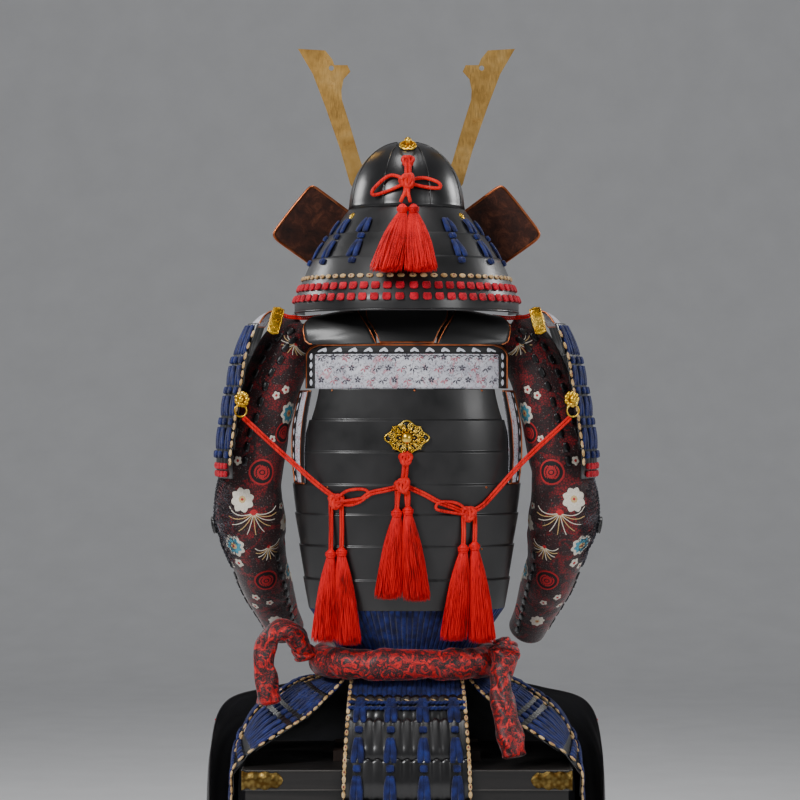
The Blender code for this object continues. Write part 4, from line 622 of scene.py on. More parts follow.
def make_looks():
    return {
        "lacquer": lacquer_look(),
        "satin": lacquer_look("satin_lacquer", (12, 12, 13), (34, 33, 34), 0.36, 0.52),
        "blue": braid_look("blue_silk", (6, 9, 34), (16, 27, 84), (38, 56, 132)),
        "crimson": braid_look("crimson_silk", (108, 0, 18), (204, 0, 32), (232, 14, 54)),
        "tassel": strand_look("red_silk", (120, 0, 8), (228, 0, 14), (250, 14, 26)),
        "orange": strand_look("orange_silk", (136, 4, 6), (220, 18, 14), (240, 54, 34)),
        "gilt": metal_look("gilt", (150, 104, 22), (216, 170, 50), (244, 214, 110), 0.22, 0.40),
        "filigree": metal_look("gilt_filigree", (150, 104, 22), (216, 170, 50), (244, 214, 110), 0.25, 0.4,
                               relief=230.0),
        "horn": metal_look("horn_brass", (176, 134, 72), (206, 162, 92), (224, 184, 118), 0.30, 0.46,
                           stains=True),
        "copper": metal_look("copper_rim", (120, 60, 34), (178, 100, 62), (208, 140, 100), 0.3, 0.45),
        "iron": metal_look("iron_mail", (26, 26, 30), (66, 66, 74), (150, 150, 160), 0.3, 0.5),
        "antique": metal_look("antique_brass", (84, 68, 34), (134, 112, 62), (172, 150, 96), 0.35, 0.55,
                              relief=160.0),
        "suede": suede_look(),
        "leather": leather_look(),
        "brocade": brocade_look(),
        "damask": damask_look(),
        "yoke": lacquer_look("yoke_lacquer", (7, 7, 8), (18, 17, 18), 0.5, 0.62),
        "black_cloth": cloth_look("black_cloth", (14, 14, 18), (30, 30, 36)),
        "black_band": plain_look("black_print", (10, 10, 12), (24, 22, 26), 0.6),
        "grey_print": plain_look("grey_print", (52, 50, 60), (84, 80, 92), 0.6),
        "pink_print": plain_look("pink_print", (168, 92, 106), (196, 124, 136), 0.6),
        "pale_print": plain_look("pale_print", (196, 200, 212), (230, 232, 240), 0.6),
        "stand": wood_look("stand_wood", (24, 14, 9), (58, 36, 24), 0.45, 0.62, 2),
        "chest": wood_look("chest_lacquer", (12, 10, 10), (30, 26, 24), 0.34, 0.5, 0),
        "lid_edge": wood_look("lid_edge_wood", (34, 32, 30), (74, 70, 66), 0.45, 0.6, 0),
        "cream": braid_look("cream_silk", (150, 110, 60), (214, 178, 124), (238, 214, 170)),
        "dark_red": plain_look("dark_red_silk", (84, 14, 20), (140, 30, 36), 0.7, sheen=0.3),
        "white_thread": plain_look("white_thread", (200, 190, 172), (240, 234, 222), 0.6, scale=700,
                                   bump=0.8),
        "gold_thread": plain_look("gold_thread", (176, 140, 84), (226, 196, 140), 0.5, scale=700, bump=0.8),
        "turquoise": plain_look("turquoise_thread", (30, 110, 136), (92, 182, 204), 0.6, scale=500,
                                bump=0.8),
        "bright_red": plain_look("bright_red_thread", (150, 14, 26), (206, 40, 44), 0.6, scale=500,
                                 bump=0.8),
        "black_thread": plain_look("black_thread", (10, 8, 10), (26, 20, 24), 0.7, scale=500, bump=0.6),
    }


# Mesh helpers

class Form:
    """Points, faces, UVs and looks gathered into one piece."""

    def __init__(self):
        self.points, self.faces, self.uvs, self.looks, self.count = [], [], [], [], 0

    def add(self, points, faces, look=0, uvs=None):
        points = np.asarray(points, float).reshape(-1, 3)
        self.points.append(points)
        self.uvs.append(np.zeros((len(points), 2)) if uvs is None else np.asarray(uvs, float).reshape(-1, 2))
        for group in faces:
            group = np.asarray(group, int) + self.count
            self.faces += group.tolist()
            self.looks += [look] * len(group)
        self.count += len(points)


def make_piece(name, form, looks, replaces=(), smooth=True):
    """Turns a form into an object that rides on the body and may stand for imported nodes."""
    mesh = bpy.data.meshes.new(name)
    mesh.from_pydata(np.concatenate(form.points).tolist(), [], form.faces)
    for look in looks:
        mesh.materials.append(LOOKS[look])
    mesh.polygons.foreach_set("material_index", form.looks)
    layer = mesh.uv_layers.new(name="metres")
    corners = np.empty(len(mesh.loops), np.int64)
    mesh.loops.foreach_get("vertex_index", corners)
    layer.data.foreach_set("uv", np.concatenate(form.uvs)[corners].ravel())
    shaped = bmesh.new()
    shaped.from_mesh(mesh)
    bmesh.ops.recalc_face_normals(shaped, faces=shaped.faces[:])
    for face in shaped.faces:
        face.smooth = smooth
    shaped.to_mesh(mesh)
    shaped.free()
    made = bpy.data.objects.new(name, mesh)
    bpy.context.scene.collection.objects.link(made)
    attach(made, "root")
    if replaces:
        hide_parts(*replaces)
    return made


def settle(made, name, axes="xyz"):
    """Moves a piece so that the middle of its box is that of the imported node."""
    low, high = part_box(name)
    points = np.empty(len(made.data.vertices) * 3)
    made.data.vertices.foreach_get("co", points)
    points = points.reshape(-1, 3)
    shift = (np.array(low) + np.array(high)) / 2 - (points.min(axis=0) + points.max(axis=0)) / 2
    shift *= [axis in axes for axis in "xyz"]
    made.data.transform(Matrix.Translation(shift.tolist()))
    return shift


def grid_faces(rows, columns, wrap=False):
    row, column = np.meshgrid(np.arange(rows - 1), np.arange(columns if wrap else columns - 1),
                              indexing="ij")
    after = (column + 1) % columns
    return np.stack([row * columns + column, row * columns + after, (row + 1) * columns + after,
                     (row + 1) * columns + column], axis=-1).reshape(-1, 4)


def add_wall(form, outer, inner, look=0, wrap=False, uvs=None):
    """A closed wall from two grids of points."""
    rows, columns = outer.shape[:2]
    total = rows * columns
    faces = [grid_faces(rows, columns, wrap), grid_faces(rows, columns, wrap)[:, ::-1] + total]
    index = np.arange(total).reshape(rows, columns)
    for row in (0, rows - 1):
        line = index[row]
        after = np.roll(line, -1) if wrap else line[1:]
        line = line if wrap else line[:-1]
        faces.append(np.stack([line, after, after + total, line + total], axis=-1))
    if not wrap:
        for column in (0, columns - 1):
            line, after = index[:-1, column], index[1:, column]
            faces.append(np.stack([line, after, after + total, line + total], axis=-1))
    both = None if uvs is None else np.concatenate([uvs.reshape(-1, 2)] * 2)
    form.add(np.concatenate([outer.reshape(-1, 3), inner.reshape(-1, 3)]), faces, look, both)


def unit(vectors):
    return vectors / np.maximum(np.linalg.norm(vectors, axis=-1, keepdims=True), 1e-9)


def rings(path, radius, sides, flat=1.0, normals=None):
    """Rings of points square to a path; flat squeezes them along the normals."""
    path = np.asarray(path, float)
    ahead = unit(np.gradient(path, axis=0))
    if normals is None:
        normals = np.cross(ahead, np.cross(np.array((0.03, -1.0, 0.05)), ahead))
    side = unit(np.cross(ahead, normals))
    up = unit(np.cross(side, ahead))
    angle = np.linspace(0, 2 * math.pi, sides, endpoint=False)
    radius = np.broadcast_to(np.asarray(radius, float), (len(path),))[:, None, None]
    flat = np.broadcast_to(np.asarray(flat, float), (len(path),))[:, None, None]
    turn = np.cos(angle)[None, :, None] * side[:, None] + flat * np.sin(angle)[None, :, None] * up[:, None]
    return path[:, None] + radius * turn


def add_tube(form, path, radius, sides=6, look=0, flat=1.0, normals=None, closed=False):
    """A tube along a path, with pointed caps unless it closes on itself."""
    path = np.asarray(path, float)
    if closed:
        path = np.concatenate([path, path[:1]])
    ring = rings(path, radius, sides, flat, normals)
    length = np.concatenate([[0], np.cumsum(np.linalg.norm(np.diff(path, axis=0), axis=1))])
    size = float(np.mean(radius))
    across = np.cos(np.linspace(0, 2 * math.pi, sides, endpoint=False)) * size
    uvs = np.stack(np.broadcast_arrays(across[None, :], length[:, None]), axis=-1)
    rows = len(path)
    if closed:
        ring[-1] = ring[0]
    points = ring.reshape(-1, 3)
    faces = [grid_faces(rows, sides, True)]
    count = rows * sides
    if not closed:
        ends = np.stack([path[0] + (path[0] - path[1]) * 0.3, path[-1] + (path[-1] - path[-2]) * 0.3])
        points = np.concatenate([points, ends])
        step = np.arange(sides)
        after = (step + 1) % sides
        faces.append(np.stack([after, step, np.full(sides, count)], axis=-1))
        faces.append(np.stack([step, after, np.full(sides, count + 1)], axis=-1) +
                     np.array([count - sides, count - sides, 0]))
        uvs = np.concatenate([uvs.reshape(-1, 2), [[0, length[0]], [0, length[-1]]]])
    form.add(points, faces, look, uvs)


def smooth_path(points, count):
    """Evenly spaced places on a smooth curve through the points."""
    fine = along(points, np.linspace(0, 1, 12 * len(points)))
    length = np.concatenate([[0], np.cumsum(np.linalg.norm(np.diff(fine, axis=0), axis=1))])
    wanted = np.linspace(0, length[-1], count)
    return np.stack([np.interp(wanted, length, fine[:, axis]) for axis in range(3)], axis=-1)


def path_length(path):
    return float(np.linalg.norm(np.diff(path, axis=0), axis=1).sum())


def add_rope(form, points, radius, look=0, pitch=0.011, strands=3, sides=5, way=1, phase=0.0):
    """A rope of twisted strands along a smooth curve."""
    length = path_length(smooth_path(points, 80))
    count = max(10, int(length / (pitch / 7)))
    path = smooth_path(points, count)
    ahead = unit(np.gradient(path, axis=0))
    side = unit(np.cross(ahead, np.array((0.03, -1.0, 0.05))))
    up = unit(np.cross(side, ahead))
    turn = way * np.linspace(0, length, count) / pitch * 2 * math.pi + phase
    for strand in range(strands):
        angle = turn + 2 * math.pi * strand / strands
        offset = np.cos(angle)[:, None] * side + np.sin(angle)[:, None] * up
        add_tube(form, path + offset * radius * 0.46, radius * 0.56, sides, look)


def add_double_rope(form, points, radius, look=0, normal=(0, -1, 0)):
    """Two thin ropes that lie side by side and twist opposite ways."""
    path = np.asarray(points, float)
    ahead = unit(np.gradient(path, axis=0))
    side = unit(np.cross(ahead, np.array(normal, float)))
    for way in (-1, 1):
        add_rope(form, path + side * way * radius * 0.52, radius * 0.56, look, way=way)


def blob_template(power=2.0, rows=7, columns=10):
    """A rounded lump: 2 gives a ball, larger numbers a softer box."""
    lift = np.linspace(-math.pi / 2, math.pi / 2, rows)[:, None]
    turn = np.linspace(0, 2 * math.pi, columns, endpoint=False)[None, :]

    def soft(value):
        return np.sign(value) * np.abs(value) ** (2 / power)
    x = soft(np.cos(lift)) * soft(np.cos(turn))
    y = soft(np.cos(lift)) * soft(np.sin(turn))
    z = soft(np.sin(lift)) * np.ones_like(turn)
    return np.stack([x, y, z], axis=-1).reshape(-1, 3), grid_faces(rows, columns, True)


ROUND, SQUARE, SMALL = blob_template(2.0, 7, 8), blob_template(3.2, 7, 12), blob_template(2.0, 5, 8)


def add_blobs(form, places, axes, sizes, template=ROUND, look=0):
    """Copies of a lump at places, along axes (count, 3, 3), with three half sizes."""
    points, faces = template
    places, axes = np.asarray(places, float).reshape(-1, 3), np.asarray(axes, float).reshape(-1, 3, 3)
    sized = points * np.asarray(sizes, float)
    moved = places[:, None] + np.einsum("pk,nkc->npc", sized, axes)
    count = len(points)
    every = (faces[None] + (np.arange(len(places)) * count)[:, None, None]).reshape(-1, 4)
    uvs = np.tile(sized[:, :2], (len(places), 1))
    form.add(moved, [every], look, uvs)


# Surfaces

def along(table, place):
    """A smooth curve through the rows of a table; place is 0 at the first row and 1 at the last."""
    rows = np.asarray(table, float)
    last = len(rows) - 1
    place = np.asarray(place, float) * last
    index = np.clip(np.floor(place).astype(int), 0, last - 1)
    part = (place - index)[..., None]
    before, start = rows[np.maximum(index - 1, 0)], rows[index]
    end, after = rows[index + 1], rows[np.minimum(index + 2, last)]
    return 0.5 * (2 * start + (end - before) * part
                  + (2 * before - 5 * start + 4 * end - after) * part ** 2
                  + (3 * start - before - 3 * end + after) * part ** 3)


def oval(angle, half_wide, half_deep, power=2.0):
    """x and y round an upright section; angle 0 is at the back."""
    sine, cosine = np.sin(angle), np.cos(angle)
    x = half_wide * np.sign(sine) * np.abs(sine) ** (2 / power)
    y = -half_deep * np.sign(cosine) * np.abs(cosine) ** (2 / power)
    return x, y


def mirrored(table):
    sign = np.ones(len(table[0]))
    sign[0:9:3] = -1
    return np.array(table, float) * sign


def draped(table):
    """A surface through three curves: near edge, middle and far edge."""
    def surface(u, v):
        rows = along(table, v)
        u = u[..., None]
        return (rows[..., 0:3] * 2 * (u - 0.5) * (u - 1) + rows[..., 3:6] * 4 * u * (1 - u)
                + rows[..., 6:9] * 2 * u * (u - 0.5))
    return surface


class Skin:
    """A surface of u and v with its outward normals."""

    def __init__(self, surface, inside, shift=(0, 0, 0)):
        self.surface, self.inside, self.shift = surface, np.array(inside, float), np.array(shift, float)

    def axes(self, u, v):
        """Places, and unit vectors along u, along v and outwards."""
        u, v = np.broadcast_arrays(np.asarray(u, float), np.asarray(v, float))
        base = self.surface(u, v)
        across = unit(self.surface(u + NUDGE, v) - self.surface(u - NUDGE, v))
        down = unit(self.surface(u, v + NUDGE) - self.surface(u, v - NUDGE))
        out = unit(np.cross(across, down))
        if np.sum(out * (base - self.inside)) < 0:
            out = -out
        return base + self.shift, across, down, out

    def at(self, u, v, lift=0.0):
        base, _, _, out = self.axes(u, v)
        return base + out * np.asarray(lift, float)[..., None]

    def width(self, v):
        return path_length(self.at(np.linspace(0, 1, 40), v))

    def height(self, u):
        return path_length(self.at(u, np.linspace(0, 1, 60)))


def add_skin_wall(form, skin, u, v, thick=WALL, lift=0.0, look=0, wrap=False):
    u, v = np.meshgrid(np.asarray(u, float), np.asarray(v, float))
    outer = skin.at(u, v, np.zeros_like(u) + lift)
    inner = skin.at(u, v, np.zeros_like(u) + lift - thick)
    add_wall(form, outer, inner, look, wrap, np.stack([u, v], axis=-1))


def add_patch(form, skin, outline, lift, look=0):
    """A flat motif on a skin: its outline is rows of u, v round its middle."""
    outline = np.asarray(outline, float)
    middle = outline.mean(axis=0)
    inner = middle + (outline - middle) * 0.5
    places = np.concatenate([[middle], inner, outline])
    points = skin.at(places[:, 0], places[:, 1], np.full(len(places), lift))
    edge = skin.at(outline[:, 0], outline[:, 1], np.full(len(outline), lift - 0.0004))
    points[1 + len(inner):] = edge
    count = len(outline)
    step = np.arange(count)
    after = (step + 1) % count
    fan = np.stack([np.zeros(count, int), 1 + step, 1 + after], axis=-1)
    band = np.stack([1 + step, 1 + count + step, 1 + count + after, 1 + after], axis=-1)
    form.add(points, [fan, band], look, places)


# Carriers under the cords and trims

def tree_of(names):
    points, faces = [], []
    for name in names:
        thing = NODES[name]
        mesh = thing.data
        mesh.calc_loop_triangles()
        base = len(points)
        points += [thing.matrix_world @ vertex.co for vertex in mesh.vertices]
        faces += [tuple(base + corner for corner in face.vertices) for face in mesh.loop_triangles]
    return BVHTree.FromPolygons(points, faces)


def rest_y(tree, x, z, reach, otherwise):
    """The most forward Y, seen from behind, of what lies round a place on the back."""
    found = []
    for side in (-1, -0.5, 0, 0.5, 1):
        for rise in (-1, 0, 1):
            hit = tree.ray_cast(Vector((x + side * reach, -1, z + rise * reach)), Vector((0, 1, 0)))[0]
            if hit:
                found.append(hit.y)
    return min(found) if found else otherwise


# Cuirass

def cuirass_surface(half):
    def surface(u, v):
        row = along(CUIRASS, v)
        x, y = oval(u * math.pi / 2, row[..., 1], row[..., 2], CUIRASS_POWER)
        return np.stack([x, -half * (y - GAP / 2), row[..., 0]], axis=-1)
    return surface


def cut_armholes(made):
    for side in (-1, 1):
        length = ARMHOLE_OUTER - ARMHOLE_INNER
        place = Matrix.Translation((side * (ARMHOLE_INNER + length / 2), 0, ARMHOLE_Z))
        size = Matrix.Diagonal((ARMHOLE_HALF_TALL, ARMHOLE_HALF_DEEP, length, 1))
        shaped = bmesh.new()
        bmesh.ops.create_cone(shaped, cap_ends=True, segments=96, radius1=1, radius2=1, depth=1,
                              matrix=place @ Matrix.Rotation(math.pi / 2, 4, "Y") @ size)
        mesh = bpy.data.meshes.new("armhole")
        shaped.to_mesh(mesh)
        shaped.free()
        cutter = bpy.data.objects.new("armhole", mesh)
        bpy.context.scene.collection.objects.link(cutter)
        modifier = made.modifiers.new("armhole", "BOOLEAN")
        modifier.operation, modifier.solver, modifier.object = "DIFFERENCE", "EXACT", cutter
        bpy.context.view_layer.update()
        graph = bpy.context.evaluated_depsgraph_get()
        result = bpy.data.meshes.new_from_object(made.evaluated_get(graph))
        made.modifiers.clear()
        made.data = result
        bpy.data.objects.remove(cutter, do_unlink=True)


def build_cuirass():
    edges = [1 - number / PLATES for number in range(PLATES + 1)]
    columns = np.linspace(-1, 1, 73)
    for name, half in (("cuirass_back", -1), ("cuirass_front", 1)):
        skin = Skin(cuirass_surface(half), (0, 0, 0.95))
        rows, lifts = [], []
        for start, end in zip(edges, edges[1:]):
            for share, lift in ((0.0, 0.6), (0.008, 1.0), (0.05, 0.96), (0.5, 0.5), (0.95, 0.06),
                                (0.992, 0.0)):
                rows.append(start + (end - start) * share)
                lifts.append(LAME_STEP * lift)
        rows.append(0)
        lifts.append(0)
        u, v = np.meshgrid(columns, np.array(rows))
        raised = np.array(lifts)[:, None] + np.zeros_like(u)
        form = Form()
        add_wall(form, skin.at(u, v, raised), skin.at(u, v, np.full_like(u, -WALL)),
                 uvs=np.stack([u, v], axis=-1))
        made = make_piece(name + "_plates", form, ["satin"], [name])
        cut_armholes(made)
        build_rivets(name, skin, edges)


def build_rivets(name, skin, edges):
    form = Form()
    places = []
    for number, edge in enumerate(edges[:-1]):
        for share in (-0.42, 0.02, 0.42):
            if number in (0, 3, 5):
                places.append((share, edge - 0.012))
    places = np.array(places)
    base, across, down, out = skin.axes(places[:, 0], places[:, 1])
    add_blobs(form, base + out * LAME_STEP, np.stack([across, down, out], axis=1), (0.0022, 0.0022, 0.0012),
              SMALL)
    make_piece(name + "_rivets", form, ["copper"])


def panel_surface(u, v):
    low, half_wide, half_deep = CUIRASS[-1]
    narrow = PANEL_HALF - 0.018 * np.clip((v - 0.75) / 0.25, 0, 1) ** 2
    x = u * narrow
    y = -(half_deep + 0.0015) * (1 - np.abs(x / (half_wide + 0.004)) ** CUIRASS_POWER) ** (1 / CUIRASS_POWER)
    z = low + GAP + v * (PANEL_TOP - low - GAP)
    return np.stack([x, y, z + 0 * x], axis=-1)


def leaf_outline(middle, half_long, half_wide, turn, skin_size, count=12):
    """A pointed leaf as rows of u and v; skin_size is metres for each unit of u and v."""
    angle = np.linspace(0, 2 * math.pi, count, endpoint=False)
    x = half_long * np.cos(angle)
    y = half_wide * np.sin(angle) * np.abs(np.sin(angle)) ** 0.4
    across = (x * math.cos(turn) - y * math.sin(turn)) / skin_size[0]
    down = (x * math.sin(turn) + y * math.cos(turn)) / skin_size[1]
    return np.stack([middle[0] + across, middle[1] + down], axis=-1)


def build_back_panel():
    skin = Skin(panel_surface, (0, 0, 1.15))
    form = Form()
    add_skin_wall(form, skin, np.linspace(-1, 1, 81), np.linspace(0, 1, 17), PANEL_WALL)
    made = make_piece("back_panel_leather", form, ["leather"], ["back_panel"])
    shift = settle(made, "back_panel")
    skin.shift = shift
    wide, tall = 2 * PANEL_HALF / 2, PANEL_TOP - CUIRASS[-1][0]
    edge_u, edge_v = 0.016 / wide, 0.016 / tall
    trim = Form()
    for sign in (-1, 1):
        u = np.linspace(1 - edge_u, 0.998, 3) * sign
        v = np.linspace(0.004, 0.99, 24)
        add_skin_wall(trim, skin, u, v, 0.0003, 0.0004)
    add_skin_wall(trim, skin, np.linspace(-0.985, 0.985, 80), np.linspace(1 - edge_v, 0.992, 4), 0.0003,
                  0.0004)
    size = (wide, tall)
    for number in range(12):
        u = (number - 5.5) / 6 * 0.93
        for lean, offset in ((0.5, -0.014), (-0.5, 0.014)):
            add_patch(trim, skin, leaf_outline((u + offset, 1 - edge_v * 0.55), 0.0062, 0.0026, lean, size),
                      0.0008, 1)
        add_patch(trim, skin, leaf_outline((u, 1 - edge_v * 0.45), 0.0026, 0.0026, 0, size), 0.0009, 1)
    for sign in (-1, 1):
        for number in range(4):
            v = 0.14 + 0.2 * number
            add_patch(trim, skin, leaf_outline((sign * (1 - edge_u * 0.55), v), 0.0026, 0.0058, 0, size),
                      0.0008, 1)
    for row, v in enumerate((0.20, 0.47, 0.72)):
        for number in range(15):
            u = (number - 7 + 0.5 * (row % 2)) / 7.6 * 0.92
            if abs(u) > 0.87:
                continue
            kind = (number + row) % 3
            for petal_number in range(5 if kind == 0 else 3):
                turn = 2 * math.pi * petal_number / (5 if kind == 0 else 6) + (0.3 if kind == 0 else 3.9)
                reach = 0.0060 if kind == 0 else 0.0085
                outline = petal((u, v), reach, 0.0017 if kind == 0 else 0.0013, turn, size, 0.12)
                add_patch(trim, skin, outline, 0.0005, 2 if kind != 1 else 3)
            if kind != 0:
                curl = np.linspace(0, 2.2 * math.pi, 16)
                radius = 0.0042 * (1 - curl / curl[-1] * 0.75)
                pu = u + (0.0060 + radius * np.cos(curl)) / size[0]
                pv = v + radius * np.sin(curl) / size[1]
                add_tube(trim, skin.at(pu, pv, np.full(16, 0.0003)), 0.0005, 4, 2)
    zigzag = []
    for number in range(67):
        u = (number - 33) / 33 * 0.9
        zigzag.append((u, 1 - edge_v * 1.12 - (number % 2) * 0.035))
    zigzag = np.array(zigzag)
    path = skin.at(zigzag[:, 0], zigzag[:, 1], np.full(len(zigzag), 0.0004))
    add_tube(trim, path, 0.0006, 4)
    make_piece("back_panel_border", trim, ["black_band", "pale_print", "grey_print", "pink_print"])
    outline = [(-1, v) for v in np.linspace(0.0, 0.93, 16)]
    outline += [(u, 1) for u in np.linspace(-0.965, 0.965, 60)]
    outline += [(1, v) for v in np.linspace(0.93, 0.0, 16)]
    outline = np.array(outline)
    rim = Form()
    path = skin.at(outline[:, 0], outline[:, 1], np.full(len(outline), -0.0012))
    path[:, 2] += 0.0006
    add_tube(rim, smooth_path(path, 160), 0.0028, 8)
    make_piece("back_panel_rim", rim, ["copper"])


def build_underarm():
    for side, name in ((-1, "underarm_left"), (1, "underarm_right")):
        base = cuirass_surface(-1)

        def surface(u, v, side=side, base=base):
            row = along(UNDERARM, v)
            place = row[..., 0] + (row[..., 1] - row[..., 0]) * u
            points = base(side * place, row[..., 2])
            lift = LAME_STEP + WING_WALL + GAP + WING_OUT
            outward = unit(points * np.array((1, 1, 0)))
            return points + outward * lift
        skin = Skin(surface, (0, 0, 1))
        form = Form()
        add_skin_wall(form, skin, np.linspace(0, 1, 13), np.linspace(0, 1, 33), WING_WALL)
        made = make_piece(name + "_leather", form, ["leather"], [name])
        skin.shift = settle(made, name)
        rim = Form()
        outline = [(u, 0.0) for u in np.linspace(0.05, 0.9, 8)]
        outline += [(1, v) for v in np.linspace(0.03, 0.97, 24)]
        outline += [(u, 1.0) for u in np.linspace(0.9, 0.05, 8)]
        outline = np.array(outline)
        path = skin.at(outline[:, 0], outline[:, 1], np.full(len(outline), -0.0004))
        add_tube(rim, smooth_path(path, 70), 0.0018, 7)
        make_piece(name + "_rim", rim, ["copper"])
        band = Form()
        add_skin_wall(band, skin, np.linspace(0.62, 0.93, 3), np.linspace(0.02, 0.98, 24), 0.0003, 0.0005)
        size = (skin.width(0.5), skin.height(0.5))
        for number in range(8):
            v = 0.08 + 0.12 * number
            add_patch(band, skin, leaf_outline((0.78, v), 0.0026, 0.0058, 0, size), 0.0009, 1)
        make_piece(name + "_border", band, ["black_band", "pale_print"])
        plate = Form()
        add_skin_wall(plate, skin, np.linspace(-0.02, 0.20, 5), np.linspace(0.0, 1.0, 40), 0.0006, 0.0009)
        make_piece(name + "_plate_edge", plate, ["satin"])
        edge = Form()
        add_edge(edge, skin, [(0.21, v) for v in np.linspace(0.0, 1.0, 30)], 0.0011, sink=-0.0008)
        make_piece(name + "_plate_rim", edge, ["copper"])


def strap_surface(side):
    def surface(u, v):
        row = along(STRAP, v)
        x = row[..., 2] + (row[..., 3] - row[..., 2]) * u
        level_ends = np.clip(np.sin(math.pi * np.clip(v, 0, 1)) * STRAP_EASE, 0, 1)
        z = row[..., 1] - STRAP_SLOPE * (x - row[..., 2]) * level_ends
        y = row[..., 0] + STRAP_BOW * np.clip(1 - 2 * v, 0, 1) * (x - row[..., 2]) ** 2
        return np.stack([side * x, y, z], axis=-1)
    return surface


def nape_surface(u, v):
    row = along(NAPE, v)
    x = u * row[..., 2]
    return np.stack([x, row[..., 0] + NAPE_BOW * x ** 2, row[..., 1] + 0 * x], axis=-1)


def add_edge(form, skin, places, radius, look=0, sink=0.001, count=120):
    """A rounded rim along places on a skin."""
    places = np.array(places, float)
    path = skin.at(places[:, 0], places[:, 1], np.full(len(places), -sink))
    add_tube(form, smooth_path(path, count), radius, 7, look)


def build_straps():
    """Shoulder straps and the nape plate, each with a copper rim."""
    rim = Form()
    line = np.linspace(0, 1, 40)
    for side, name in ((-1, "strap_left"), (1, "strap_right")):
        skin = Skin(strap_surface(side), (0, 0, 1.0))
        form = Form()
        add_skin_wall(form, skin, np.linspace(0, 1, 15), np.linspace(0, 1, 70), STRAP_WALL)
        made = make_piece(name + "_plate", form, ["yoke"], [name])
        skin.shift = settle(made, name)
        add_edge(rim, skin, [(0.985, v) for v in line * 0.98 + 0.01], 0.0016)
        add_edge(rim, skin, [(0.015, v) for v in line * 0.98 + 0.01], 0.0016)
    skin = Skin(nape_surface, (0, 0, 1.0))
    form = Form()
    add_skin_wall(form, skin, np.linspace(-1, 1, 41), np.linspace(0, 1, 21), PANEL_WALL)
    made = make_piece("nape_plate_shell", form, ["yoke"], ["nape_plate"])
    skin.shift = settle(made, "nape_plate")
    for sign in (-1, 1):
        add_edge(rim, skin, [(sign * 0.985, v) for v in line * 0.98 + 0.01], 0.0015)
    add_edge(rim, skin, [(u, 0.06) for u in line * 1.96 - 0.98], 0.0015, sink=-0.0004)
    make_piece("yoke_rims", rim, ["copper"])


def brim_surface(u, v):
    out = BRIM_OUT * v
    x, y = oval(u, BOWL_HALF_WIDE - BRIM_INSET + out * np.cos(u - math.pi) ** 0.7,
                BOWL_HALF_DEEP - BRIM_INSET + out, HELMET_POWER)
    z = BOWL_Z - GAP - BRIM_INSET - BRIM_DROP * v ** 1.3 - BRIM_DROOP * v * np.abs(np.sin(u))
    return np.stack([x, y, z + 0 * x], axis=-1)


def build_brim():
    half = math.radians(BRIM_HALF_ANGLE)
    skin = Skin(brim_surface, (0, 0, 1.2))
    form = Form()
    turns = np.linspace(math.pi - half, math.pi + half, 61)
    add_skin_wall(form, skin, turns, np.linspace(0.001, 1, 14))
    made = make_piece("helmet_brim_plate", form, ["suede"], ["helmet_brim"])
    skin.shift = settle(made, "helmet_brim")
    rim = Form()
    add_edge(rim, skin, [(u, 0.99) for u in turns], 0.0020)
    make_piece("helmet_brim_rim", rim, ["copper"])


def guard_top_surface(side):
    def surface(u, v):
        row = along(GUARD_TOP, v)
        x = row[..., 0] + GUARD_TOP_BOW * u ** 2 * v
        half = GUARD_TOP_HALF + GUARD_TOP_WIDER * v
        return np.stack([-side * x, u * half, row[..., 1] + 0 * x], axis=-1)
    return surface


def build_guard_tops():
    for side, word in ((-1, "left"), (1, "right")):
        skin = Skin(guard_top_surface(side), (side * 0.25, 0, 1.1))
        form = Form()
        add_skin_wall(form, skin, np.linspace(-1, 1, 49), np.linspace(0, 1, 13))
        made = make_piece(f"sode_top_{word}_plate", form, ["leather"], [f"sode_top_{word}"])
        skin.shift = settle(made, f"sode_top_{word}")
        rim = Form()
        outline = [(u, 0.02) for u in np.linspace(-0.98, 0.98, 30)]
        outline += [(0.99, v) for v in np.linspace(0.06, 0.94, 12)]
        outline += [(u, 0.98) for u in np.linspace(0.98, -0.98, 30)]
        outline += [(-0.99, v) for v in np.linspace(0.94, 0.06, 12)]
        add_edge(rim, skin, outline, 0.0018, count=170)
        make_piece(f"sode_top_{word}_rim", rim, ["copper"])


# Laced plates

def build_lames(name, skin, edges, scales, node_name, look="lacquer", first=1):
    """Overlapping rows of scales with rounded tops, thin at the lower edge."""
    form = Form()
    per = 6
    u = np.linspace(0, 1, scales * per + 1)
    part = (u * scales) % 1
    part[-1] = 0
    crown = np.sin(math.pi * part) ** 0.6
    for number, (start, end) in enumerate(zip(edges, edges[1:])):
        if number < first:
            continue
        tall = end - start
        top = start - 0.10 * tall * crown
        share = np.array((0, 0.02, 0.10, 0.55, 1.0))
        bulge = np.array((0.2, 1, 1, 1, 0.6))
        v = top[None, :] + (end - top)[None, :] * share[:, None]
        lift = (LAME_STEP * (1 - share))[:, None] + 0.0019 * bulge[:, None] * (0.2 + 0.8 * crown[None, :])
        uu = np.broadcast_to(u, v.shape)
        outer, inner = skin.at(uu, v, lift), skin.at(uu, v, lift - 0.0016)
        add_wall(form, outer, inner, uvs=np.stack([uu, v], axis=-1))
    return make_piece(name, form, [look], [node_name] if node_name else ())


def add_braid(form, skin, u, v, half_wide, thick, lift, look=0, sides=6):
    """A flat braid along places on a skin."""
    base, _, _, out = skin.axes(u, v)
    half_wide = np.broadcast_to(np.asarray(half_wide, float), base.shape[:-1])
    add_tube(form, base + out * np.asarray(lift, float)[..., None], half_wide, sides, look,
             flat=thick / half_wide, normals=out)


